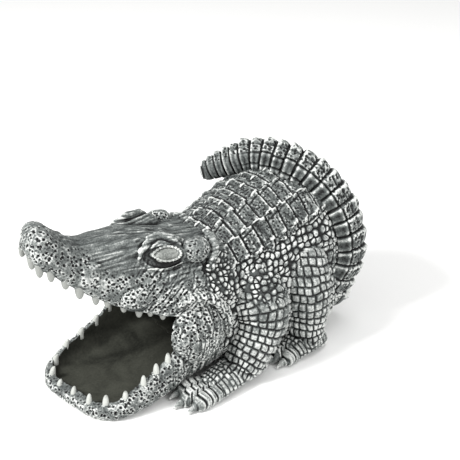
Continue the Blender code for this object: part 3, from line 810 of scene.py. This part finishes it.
def leg_form(rows):
    line = smooth_line(rows, 60)
    way = unit(np.gradient(line[:, :3], axis=0))
    rings = line[:, None, :3] + line[:, None, 3:] * spokes(*sides_of(way, (0.0, 1.0, 0.0)), circle(48))
    rings[..., 2] = np.maximum(rings[..., 2], 0.4)
    return tube(rings)


def foot_form(rows):
    line = smooth_line(rows, 50)
    a = circle(48)
    x = line[:, None, 0] + line[:, None, 3] * np.cos(a)
    z = np.maximum(line[:, None, 2] + 1.1 * line[:, None, 2] * np.sin(a), 0.0)
    y = np.broadcast_to(line[:, None, 1], x.shape)
    return tube(np.stack([x, y, z], axis=-1))


def toe_way(start, end):
    """A toe's start and end on the ground, its direction, the one across it, and its length."""
    start = np.array(start, float)
    end = np.array(end, float)
    step = end - start
    length = np.linalg.norm(step)
    step /= length
    return start, end, step, np.array([step[1], -step[0]]), length


def toe_ring(centre, cross, wide, low, tall, angles):
    """One ring of a toe or claw: its half width, where it stands and its half height."""
    x, y = (centre[k] + cross[k] * wide * np.cos(angles) for k in (0, 1))
    return np.stack([x, y, np.maximum(low + tall * (1 + np.sin(angles)), 0.0)], axis=-1)


def toe_form(start, end):
    start, end, step, cross, length = toe_way(start, end)
    knuckles = [(1.0, 1.1), (0.95, 1.1), (1.02, 1.15), (0.85, 0.9), (0.55, 0.55)]
    shares = np.linspace(0, 1, 30)
    rings = []
    for share, (wide, tall) in zip(shares, through([0, 0.4, 0.7, 0.9, 1.0], knuckles, shares)):
        centre = start + step * length * share
        rings.append(toe_ring(centre, cross, TOE_RADIUS * wide, 0.0, TOE_RADIUS * tall, circle(24, 0.5)))
    return tube(rings)


def claw_form(start, end):
    end, step, cross = toe_way(start, end)[1:4]
    rings = []
    for share in np.linspace(0, 1, 16):
        centre = end + step * (-3.0 + (CLAW_LENGTH + 3.0) * share)
        wide = CLAW_RADIUS * (1.15 - 0.85 * share ** 1.6)
        tall = CLAW_RADIUS * (1.35 - 0.95 * share ** 1.4)
        lift = 1.0 + 2.0 * (1 - share) * share * 2
        rings.append(toe_ring(centre, cross, wide, lift, tall, circle(16)))
    return tube(rings)


def leg_places(p, line):
    """Place along a leg's middle line, angle round it, and distance as a share of its radius."""
    dense = smooth_line(line, 160)
    best = np.full(len(p), 1e9)
    index = np.zeros(len(p), int)
    for k, (x, y, z, r) in enumerate(dense):
        away = np.linalg.norm(p - (x, y, z), axis=1) / r
        closer = away < best
        best = np.where(closer, away, best)
        index = np.where(closer, k, index)
    way = unit(np.gradient(dense[:, :3], axis=0))[index]
    across, up = sides_of(way, (0.0, 1.0, 0.0))
    off = p - dense[index, :3]
    s = run_length(dense[:, :3])[index] + (off * way).sum(axis=1)
    angle = np.arctan2((off * up).sum(axis=1), (off * across).sum(axis=1))
    return s, angle, best


def square_scales(s, round_mm, size, seed, joint=1.9, rise=2.6):
    """Rows of squarish, slightly domed scales with open joints between them."""
    places = np.stack([s, round_mm], axis=1)
    s = s + 0.26 * size * blur(places / (size * 1.6), seed)
    round_mm = round_mm + 0.26 * size * blur(places / (size * 1.6), seed + 9)
    row = np.floor(s / size)
    place = round_mm / size + 0.45 * chance(np.stack([row, row * 0], axis=1), seed + 1)
    column = np.floor(place)
    lot = np.stack([row, column], axis=1)
    a = np.abs(s / size - row - 0.5)
    b = np.abs(place - column - 0.5)
    edge = np.clip(0.5 - (a ** 4 + b ** 4) ** 0.25, 0, 1) * size
    dome = 0.4 * ease(0.0, joint, edge) + 0.6 * (1 - (1 - 2 * edge / size) ** 2)
    return rise * (dome - 0.6) + 1.1 * (chance(lot, seed + 3) - 0.5)


def build_leg(name, rows, foot, toes, side):
    forms = [leg_form(rows), foot_form(foot)]
    forms += [toe_form(start, end) for start, end in toes]
    forms += [claw_form(start, end) for start, end in toes]
    obj = cast(name, forms, 5)
    p = get_points(obj)
    front = "front" in name
    s, angle, close = leg_places(p, rows)
    round_mm = angle / (2 * np.pi) * np.round(2 * np.pi * LEG_RADIUS / LEG_SCALE) * LEG_SCALE
    rise = square_scales(s, round_mm, LEG_SCALE, 71 if front else 75)
    calm = np.zeros(len(p))
    if front:
        shoulder = ease(86, 92, p[:, 2] + 5 * blur(p / 12, 90))
        rise = rise * (1 - shoulder) + pebbles(p, SHOULDER_PEBBLE, 86) * shoulder
        calm = 0.45 * shoulder

    # Smaller scales on the foot, then rounded folds across each toe up to its claw
    foot_close = leg_places(p * (1, 1, 1.3), foot)[2]
    on_foot = ease(0.12, -0.12, foot_close - close) * ease(34, 24, p[:, 2])
    small = square_scales(p[:, 1] + 0.3 * p[:, 2], p[:, 0] + 0.7 * p[:, 2], FOOT_SCALE, 81, 1.4, 1.7)
    rise = rise * (1 - on_foot) + small * on_foot
    for ends in toes:
        start, _, step, cross, length = toe_way(*ends)
        flat = p[:, :2] - start
        along = flat @ step
        off = np.abs(flat @ cross)
        on_toe = ease(3, 7, along) * ease(TOE_RADIUS * 1.5, TOE_RADIUS * 1.25, off)
        on_toe *= ease(20, 16, p[:, 2])
        bend = (along + 0.05 * off ** 2) / TOE_FOLD
        part = np.abs(bend - np.floor(bend) - 0.5) * 2
        bar = 2.6 * (1 - ease(0.5, 1.0, part)) - 1.0
        bar *= 1 - ease(length - 1, length + 2, along)
        rise = rise * (1 - on_toe) + bar * on_toe
    rise += 0.25 * blur(p / 3, 85, 2)
    raise_skin(obj, rise * ease(0.5, 3.0, p[:, 2]))
    keep(obj, pitted=np.zeros(len(p)), smooth_dark=calm)
    if side < 0:
        set_points(obj, get_points(obj) * (-1, 1, 1))
        obj.data.flip_normals()
    return obj


# Tail: centre line x, y, z, radius share between root and tip
TAIL_KEYS = [
    (24, 66, 27, 0.96), (38, 76, 31, 1.0), (47, 84, 54, 1.0), (55, 92, 84, 1.0), (54, 90, 117, 0.98),
    (42, 81, 149, 0.95), (21, 67, 173, 0.90), (-4, 51, 184, 0.81), (-26, 37, 185, 0.73),
    (-45, 23, 177, 0.62), (-59, 12, 169.5, 0.50), (-67, 5, 164, 0.41), (-71, 0, 162, 0.31),
]
TAIL_AXIS = np.array([0.0, 60.0, 90.0])
TAIL_POINTS = 168


def build_tail():
    dense = smooth_line(np.array(TAIL_KEYS, float), 800)
    length = run_length(dense[:, :3])
    total = length[-1]
    s = np.arange(0, total, SKIN)
    s[-1] = total
    line = np.stack([np.interp(s, length, dense[:, k]) for k in range(4)], axis=1)
    centres = line[:, :3]
    way = unit(np.gradient(centres, axis=0))
    out = centres - TAIL_AXIS
    out = unit(out - way * (out * way).sum(axis=1)[:, None])
    radius = line[:, 3:] * TAIL_ROOT_RADIUS

    # Place on the skin: millimetres along it, and angle and millimetres from its crest
    a = circle(TAIL_POINTS)
    a = np.where(a > np.pi, a - 2 * np.pi, a)
    deg = np.abs(np.degrees(a))[None, :] * np.ones((len(s), 1))
    ss = s[:, None] * np.ones((1, TAIL_POINTS))
    flat = np.stack([ss.ravel(), (radius * a[None, :]).ravel()], axis=1)

    # Bands that narrow toward the tip, each with a crest on top
    wander = blur(flat / 16, 90).reshape(ss.shape)
    narrowing = TAIL_BAND_ROOT - TAIL_BAND_TIP
    pitch = TAIL_BAND_ROOT - narrowing * ss / total
    band = total / narrowing * np.log(TAIL_BAND_ROOT / pitch) + 0.05 * wander
    number = np.floor(band)
    part = band - number
    edge = np.minimum(part, 1 - part) * pitch
    rise = 2.8 * (0.25 + 0.75 * part) - 2.8 * (1 - ease(0.2, 2.0, edge)) ** 1.3
    crest = np.exp(-(deg / 15.0) ** 4) * ease(0.05, 0.3, part) * (1 - ease(0.85, 1.0, part))
    knob = chance(np.stack([number, number * 0], axis=-1), 98)
    rise += (2.4 + 2.4 * knob) * crest * (0.4 + 0.6 * part)

    # Grooves along the tail between its scutes: angle from the crest, depth and sway
    lines = ((18.0, 0.8, 0.0), (48.0, 2.2, 4.0), (88.0, 2.0, 3.0), (118.0, 1.6, 2.0))
    thick = ease(0.62, 0.82, line[:, 3:])
    for row, (groove, deep, sway) in enumerate(lines):
        shift = (chance(np.stack([number, number * 0 + row], axis=-1), 97) - 0.5) * 2 * sway
        off = (deg + shift - groove) / 57.3 * radius
        rise -= deep * thick * np.exp(-(off / 1.2) ** 2)
        rise += 0.8 * thick * np.exp(-((off - 3.2) / 2.0) ** 2) * (row > 0)
    square = ease(46, 50, deg) * ease(120, 116, deg)
    rise += square * (0.8 * ease(0.5, 3.5, edge) - 0.8 * ease(3.0, 8.0, edge))
    pits = ease(49, 46, deg)
    rise -= 1.1 * (round_pits(flat / TAIL_PIT, 93, 0.3) - 0.2).reshape(ss.shape) * pits
    rise += 0.8 * blur(flat / 6, 94, 3).reshape(ss.shape)
    fade = np.minimum(1.0, line[:, 3:] / 0.6)
    rise *= fade
    rise *= 1 - 0.5 * ease(120, 136, deg)

    rings = centres[:, None] + (radius + rise)[..., None] * spokes(out, np.cross(way, out), a)
    tip = centres[-1]
    close = [tip + (rings[-1] - tip) * k + way[-1] * (2.2 * (1 - k)) for k in (0.85, 0.6, 0.3)]
    rings = np.concatenate([rings, close])
    rings[..., 2] = np.maximum(rings[..., 2], 0.5)
    obj = new_piece("tail", *tube(rings))
    spare = np.zeros(TAIL_POINTS * len(close) + 2)
    dark = 0.45 + 0.3 * square * fade
    keep(obj, pitted=np.concatenate([pits.ravel(), spare]),
         smooth_dark=np.concatenate([dark.ravel(), spare + 0.45]))
    return obj


# Tunnel from the rear inlet to the mouth: distance from the jaw's tip and height of the roof, then
# cross sections as shares of the half width and height, from the floor's middle to the roof's
MOUTH_ROOF = [(9, 20), (16, 40), (30, 80), (52, 96), (82, 104), (104, 106), (132, 108)]
ROUND_SECTION = [(0, 0), (0.72, 0), (0.93, 0.05), (1, 0.2), (1, 0.62), (0.9, 0.84), (0.6, 0.97), (0, 1)]
INLET_SECTION = [(0, 0), (0.75, 0), (0.985, 0.01), (1, 0.03), (1, 0.94), (0.985, 0.985), (0.7, 1), (0, 1)]
TUNNEL_POINTS = 112


def section(shape, y, middle, half_width, floor, height, wider):
    """Loop of the tunnel's wall at y, moved out by wider."""
    half = [(a * (half_width + wider), floor - wider + b * (height + 2 * wider)) for a, b in shape]
    return both_sides(half, y, middle)


def build_tunnel(wider):
    """The hollow's form, moved out by wider."""
    rows = []
    for d, roof in MOUTH_ROOF:
        part, _, bottom = jaw_sizes(d)[0]
        rows.append((JAW_TIP + d, 0.0, part * JAW_HALF_WIDTH - JAW_WALL - 2.0 * FLOOR_WALL / d,
                     max(bottom, 0.0) + FLOOR_WALL, roof))
    rows[0] = rows[0][:2] + (rows[0][2] - 6.0,) + rows[0][3:]
    for share in (0.20, 0.45, 0.70):
        y = TRUNK_FRONT + share * (TRUNK_REAR - TRUNK_FRONT)
        w, _, top, _ = trunk_sizes(y)[0]
        floor = INLET_FLOOR - (1 - share) * 6.0
        rows.append((y, share * INLET_OFFSET, w - SIDE_WALL, floor, top - ROOF_WALL))
    y = TRUNK_REAR - REAR_WALL
    top = trunk_sizes(y)[0][2]
    rows.append((y - 4.0, INLET_OFFSET, INLET_HALF, INLET_FLOOR, top - ROOF_WALL - 6.0))
    y = np.linspace(rows[0][0], rows[-1][0], 110)
    loops = [section(ROUND_SECTION, place, x, w, floor, top - floor, wider)
             for place, (x, w, floor, top) in zip(y, through_rows(rows, y))]
    loops = round_loops(loops, TUNNEL_POINTS)
    loops[..., 1] += jaw_skew(loops[..., 0], loops[..., 1] - JAW_TIP)

    # Square inlet with straight sides, drawn with as many points
    inlet = (INLET_OFFSET, INLET_HALF, INLET_FLOOR, INLET_HEIGHT, wider)
    corners = np.array([section(INLET_SECTION, place, *inlet)
                        for place in (TRUNK_REAR - REAR_WALL, TRUNK_REAR + 40.0)])
    have = corners.shape[1]
    at = np.arange(TUNNEL_POINTS) * have / TUNNEL_POINTS
    i = at.astype(int)
    t = (at - i)[None, :, None]
    straight = corners[:, i] * (1 - t) + corners[:, (i + 1) % have] * t
    return new_piece("tunnel", *tube(np.concatenate([loops, straight])))


def tooth_form(base, way, radius, height, lean):
    """Blunt cone with its root sunk in the gum."""
    a = circle(14)
    rings = []
    for f in (-0.35, 0.0, 0.2, 0.4, 0.6, 0.75, 0.87, 0.95, 0.99):
        up = max(f, 0)
        r = radius * (1.05 - 0.38 * up ** 1.3) * math.sqrt(max(1 - up ** 6, 0.03))
        x = base[0] + lean[0] * up ** 1.6 + r * np.cos(a)
        y = base[1] + lean[1] * up ** 1.6 + r * np.sin(a)
        rings.append(np.stack([x, y, np.full(len(a), base[2] + way * f * height)], axis=-1))
    return tube(rings)


def build_lower_teeth():
    forms = []
    for k, base in enumerate(lower_gums()):
        lot = chance(np.array([[k, 3], [k, 4]]), 77)
        lean = (-2.5 * base[0] / JAW_HALF_WIDTH, 2.0)
        tall = TOOTH_HEIGHT * (0.80 + 0.28 * lot[0])
        forms.append(tooth_form(base - (0, 0, 1.0), 1, TOOTH_RADIUS * (0.9 + 0.2 * lot[1]), tall, lean))
    return new_piece("lower_teeth", *joined(forms))


# Upper teeth: where each stands along the lip, as y before the head is turned
UPPER_TEETH_LEFT = (-242.0, -237.0, -228.0, -216.0, -204.0, -190.0, -180.0, -166.0, -153.0, -143.0,
                    -132.0)
UPPER_TEETH_RIGHT = (-243.0, -235.0, -225.0, -213.0, -201.0, -188.0, -176.0, -163.0, -150.0,
                     -137.0)


def build_upper_teeth():
    forms = []
    for side, row in ((1, UPPER_TEETH_LEFT), (-1, UPPER_TEETH_RIGHT)):
        for k, y in enumerate(row):
            share = min((HEAD_PIVOT - y) / (HEAD_PIVOT - SNOUT_TIP), 1.0)
            lw, lz = head_sizes(share)[0][5:7]
            big = 1.2 if k in (3, 4) else 1.0
            lot = chance(np.array([[k, side + 5]]), 78)[0]
            base = turned([(side * max(lw * 0.9, 7.0), y, lz + 3.0)])[0]
            size = TOOTH_RADIUS * 1.1 * big * (0.9 + 0.2 * lot)
            tall = TOOTH_HEIGHT * big * (0.58 + 0.38 * lot)
            forms.append(tooth_form(base, -1, size, tall, (0.8 * side, -0.8)))
    return new_piece("upper_teeth", *joined(forms))


def build_eye(name, side):
    """Eyeball with the row of small beads on its lids."""
    forms = [egg(EYE_MIDDLE - EYE_AXES[2] * 6.6, EYE_AXES, (14.5, 8.6, 8.6), 48, 32)]
    for bead in eye_ring(1.02, 3.4, 22):
        forms.append(ball(bead, (1.25, 1.25, 1.25), 12, 8))
    verts, faces = joined(forms)
    return new_piece(name, turned(verts * (side, 1, 1)), faces)


# Paint: width of the dry brush's patches and grit, of the pits in the cast skin, and of the clouds
# and streaks inside. Grit and pits are coarser than real ones, so that they show in the render.
PATCH = 14.286
GRIT = 1.5385
PAINT_PIT = 2.2
CLOUD = 38.46
STREAK = 2.381


def colour(code):
    """sRGB hex to the linear colour a shader takes."""
    values = []
    for k in (0, 2, 4):
        v = int(code[k:k + 2], 16) / 255
        values.append(v / 12.92 if v <= 0.04045 else ((v + 0.055) / 1.055) ** 2.4)
    return (*values, 1.0)


def wire(tree, node, settings):
    """Sets a node's values and links its inputs; _0 means its first input, and so on."""
    for name, value in settings.items():
        if hasattr(node, name):
            setattr(node, name, value)
            continue
        socket = node.inputs[int(name[1:]) if name[0] == "_" else name]
        if isinstance(value, bpy.types.NodeSocket):
            tree.links.new(value, socket)
        else:
            socket.default_value = value
    return node


def add(tree, kind, **settings):
    """Adds a node with its settings and links."""
    return wire(tree, tree.nodes.new(kind), settings)


def set_stops(ramp, *stops):
    """Gives a colour ramp its stops: where each lies, and its sRGB hex."""
    elements = ramp.color_ramp.elements
    while len(elements) < len(stops):
        elements.new(0.5)
    for element, (spot, code) in zip(elements, stops):
        element.position = spot
        element.color = colour(code)


def new_material(name):
    """A material, its node tree and its shader."""
    mat = bpy.data.materials.new(name)
    mat.use_nodes = True
    return mat, mat.node_tree, mat.node_tree.nodes["Principled BSDF"]


def painted_stone(name, wash, body, brush, pale, rough):
    """Cast stone: a dark wash lies in the hollows and a dry brush has left pale paint on the
    high spots, so the carving reads from a step away; the clear sealer gives a low sheen."""
    mat, tree, shader = new_material(name)
    place = add(tree, "ShaderNodeTexCoord").outputs["Object"]
    # Numbers kept on the pieces: relief close round and further round, pitted skin, and darker tones with
    # painted shade
    close, far, pitted, dark = (
        add(tree, "ShaderNodeAttribute", attribute_name=kept).outputs["Fac"]
        for kept in ("proud_close", "proud_far", "pitted", "smooth_dark"))
    patchy = add(tree, "ShaderNodeTexNoise", Scale=1000 / PATCH, Detail=5.0, Vector=place).outputs["Fac"]
    grit = add(tree, "ShaderNodeTexNoise", Scale=1000 / GRIT, Detail=3.0, Vector=place).outputs["Fac"]
    hole = add(tree, "ShaderNodeTexVoronoi", Scale=1000 / PAINT_PIT, Vector=place).outputs["Distance"]
    hole = add(tree, "ShaderNodeMapRange", interpolation_type="SMOOTHSTEP",
               _0=hole, _1=0.18, _2=0.42, _3=1.0, _4=0.0).outputs[0]
    hole = add(tree, "ShaderNodeMath", operation="MULTIPLY", _0=hole, _1=pitted).outputs[0]

    # How pale the paint is: where it starts, and what each cause adds. The last takes off for darker tones,
    # and for painted shade on the faces under the head's lip.
    high = -0.17
    for share, cause in ((1.10, close), (0.24, far), (0.56, patchy), (0.66, grit), (0.03, pitted),
                         (-0.25, hole), (-0.26, dark)):
        high = add(tree, "ShaderNodeMath", operation="MULTIPLY_ADD", _0=cause, _1=share, _2=high).outputs[0]
    ramp = add(tree, "ShaderNodeValToRGB", Fac=high)
    set_stops(ramp, (0.10, wash), (0.38, body), (0.62, brush), (0.92, pale))
    dull = add(tree, "ShaderNodeMapRange", _0=patchy, _1=0.2, _2=0.8, _3=rough - 0.1, _4=rough + 0.12)
    raised = add(tree, "ShaderNodeMath", operation="MULTIPLY_ADD", _0=hole, _1=-0.8, _2=grit).outputs[0]
    bump = add(tree, "ShaderNodeBump", Strength=0.5, Distance=0.0006, Height=raised)
    wire(tree, shader, {"Base Color": ramp.outputs["Color"], "Roughness": dull.outputs[0],
                        "Normal": bump.outputs["Normal"], "Specular IOR Level": 0.26})
    return mat


def mouth_lining():
    """The bare inside of the casting, painted near black as painted shade in the hollow: smooth, dull, with
    faint cloudy streaks.
    """
    mat, tree, shader = new_material("smooth cast inside")
    place = add(tree, "ShaderNodeTexCoord").outputs["Object"]
    cloud = add(tree, "ShaderNodeTexNoise", Scale=1000 / CLOUD, Detail=6.0, Distortion=0.6, Vector=place)
    fine = add(tree, "ShaderNodeTexNoise", Scale=1000 / STREAK, Detail=3.0, Vector=place).outputs["Fac"]
    tone = add(tree, "ShaderNodeMath", operation="MULTIPLY_ADD", _0=fine, _1=0.25, _2=cloud.outputs["Fac"])
    ramp = add(tree, "ShaderNodeValToRGB", Fac=tone.outputs[0])
    # Near-black stops: painted shade inside the mouth and the tunnel
    set_stops(ramp, (0.42, "1c1d19"), (0.80, "42433c"))
    bump = add(tree, "ShaderNodeBump", Strength=0.3, Distance=0.0005, Height=fine)
    wire(tree, shader, {"Base Color": ramp.outputs["Color"], "Roughness": 0.75,
                        "Normal": bump.outputs["Normal"], "Specular IOR Level": 0.12})
    return mat


def plain_floor():
    """Matt white studio paper."""
    mat, tree, shader = new_material("matt studio paper")
    wire(tree, shader, {"Base Color": colour("f4f4f3"), "Roughness": 0.9})
    return mat


skin_paint = painted_stone("dry brushed cast stone", "090a0a", "454948", "6e7270", "cccecb", 0.5)
tooth_paint = painted_stone("pale cast teeth", "111211", "343734", "666965", "b4b6b1", 0.42)
# The upper teeth's paint is a darker copy of the tooth paint: painted shade under the upper lip
shaded_tooth_paint = painted_stone("shaded cast teeth", "0b0c0b", "232623", "474a47", "8e908c", 0.42)
eye_paint = painted_stone("pale cast eyes", "121412", "5a5d5a", "868985", "dcdeda", 0.38)
lining_paint = mouth_lining()


def finish_piece(obj, paint, lining):
    """Shading, paint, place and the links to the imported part."""
    mesh = obj.data
    index = read(mesh.polygons, "material_index", 1, np.int32).ravel()
    mesh.materials.clear()
    mesh.materials.append(paint)
    if lining:
        mesh.materials.append(lining_paint)
        mesh.polygons.foreach_set("material_index", np.minimum(index, 1))
    mesh.shade_smooth()
    for v in mesh.vertices:
        v.co.y += MOVE_BACK * MM
    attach(obj, "root")
    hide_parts("alligator")


pieces = []


def add_hollow(obj, wider):
    """A skin piece: keeps its relief for the paint, then has the water tunnel cut through it."""
    keep_relief(obj)
    tool = build_tunnel(wider)
    for mesh in (obj.data, tool.data):
        mesh.materials.append(skin_paint)
        mesh.materials.append(lining_paint)
    tool.data.polygons.foreach_set("material_index", np.ones(len(tool.data.polygons), dtype=np.int32))
    cut(obj, tool)
    pieces.append((obj, skin_paint, True))


def add_whole(obj, paint):
    """A piece that the tunnel leaves whole."""
    keep_relief(obj)
    pieces.append((obj, paint, False))


# Where two skins meet, one is cut a little wider, so that no two linings lie together
add_hollow(build_trunk(), 0.0)
add_hollow(build_jaw(), 0.4)
add_hollow(build_head(), 0.8)
add_hollow(build_tail(), 1.4)
for side, tag in ((1, "left"), (-1, "right")):
    add_hollow(build_leg("front_leg_" + tag, FRONT_LEG, FRONT_FOOT, FRONT_TOES, side), 1.4)
    add_hollow(build_leg("hind_leg_" + tag, HIND_LEG, HIND_FOOT, HIND_TOES, side), 1.4)
    add_whole(build_eye("eye_" + tag, side), eye_paint)
add_whole(build_lower_teeth(), tooth_paint)
# The upper teeth take the darker copy, as painted shade
add_whole(build_upper_teeth(), shaded_tooth_paint)
for piece in pieces:
    finish_piece(*piece)

# Floor, camera and light
floor_mesh = bpy.data.meshes.new("floor")
floor_mesh.from_pydata([(-6, -6, 0), (6, -6, 0), (6, 6, 0), (-6, 6, 0)], [], [(0, 1, 2, 3)])
floor_mesh.materials.append(plain_floor())
floor = add_object("floor", floor_mesh)

CAMERA_AZIMUTH = math.radians(50.0)
CAMERA_HEIGHT = math.radians(27.0)
CAMERA_DISTANCE = 1.0
TARGET = Vector((-0.023, MOVE_BACK * MM, 0.110))
level = math.cos(CAMERA_HEIGHT)
back = Vector((math.sin(CAMERA_AZIMUTH) * level, -math.cos(CAMERA_AZIMUTH) * level,
               math.sin(CAMERA_HEIGHT)))
lens = bpy.data.cameras.new("camera")
lens.sensor_width = 36.0
lens.lens = 72.0
camera = add_object("camera", lens)
camera.location = TARGET + back * CAMERA_DISTANCE
camera.rotation_euler = back.to_track_quat("Z", "Y").to_euler()
bpy.context.scene.camera = camera

# Soft boxes aimed at the statue: place, size and power
LAMPS = {"key": ((-0.35, -1.7, 1.7), 0.6, 62), "fill": ((2.0, -0.2, 0.9), 1.0, 20),
         "top": ((0.3, 0.5, 2.2), 1.0, 14)}
LAMP_AIM = Vector((0, 0, 0.08))
for name, (place, size, power) in LAMPS.items():
    data = bpy.data.lights.new(name, "AREA")
    data.size = size
    data.energy = power
    lamp = add_object(name, data)
    lamp.location = place
    lamp.rotation_euler = (Vector(place) - LAMP_AIM).to_track_quat("Z", "Y").to_euler()

world = bpy.data.worlds.new("studio")
world.use_nodes = True
wire(world.node_tree, world.node_tree.nodes["Background"], {"Color": (1, 1, 1, 1), "Strength": 0.65})
bpy.context.scene.world = world
bpy.context.scene.view_settings.view_transform = "Standard"
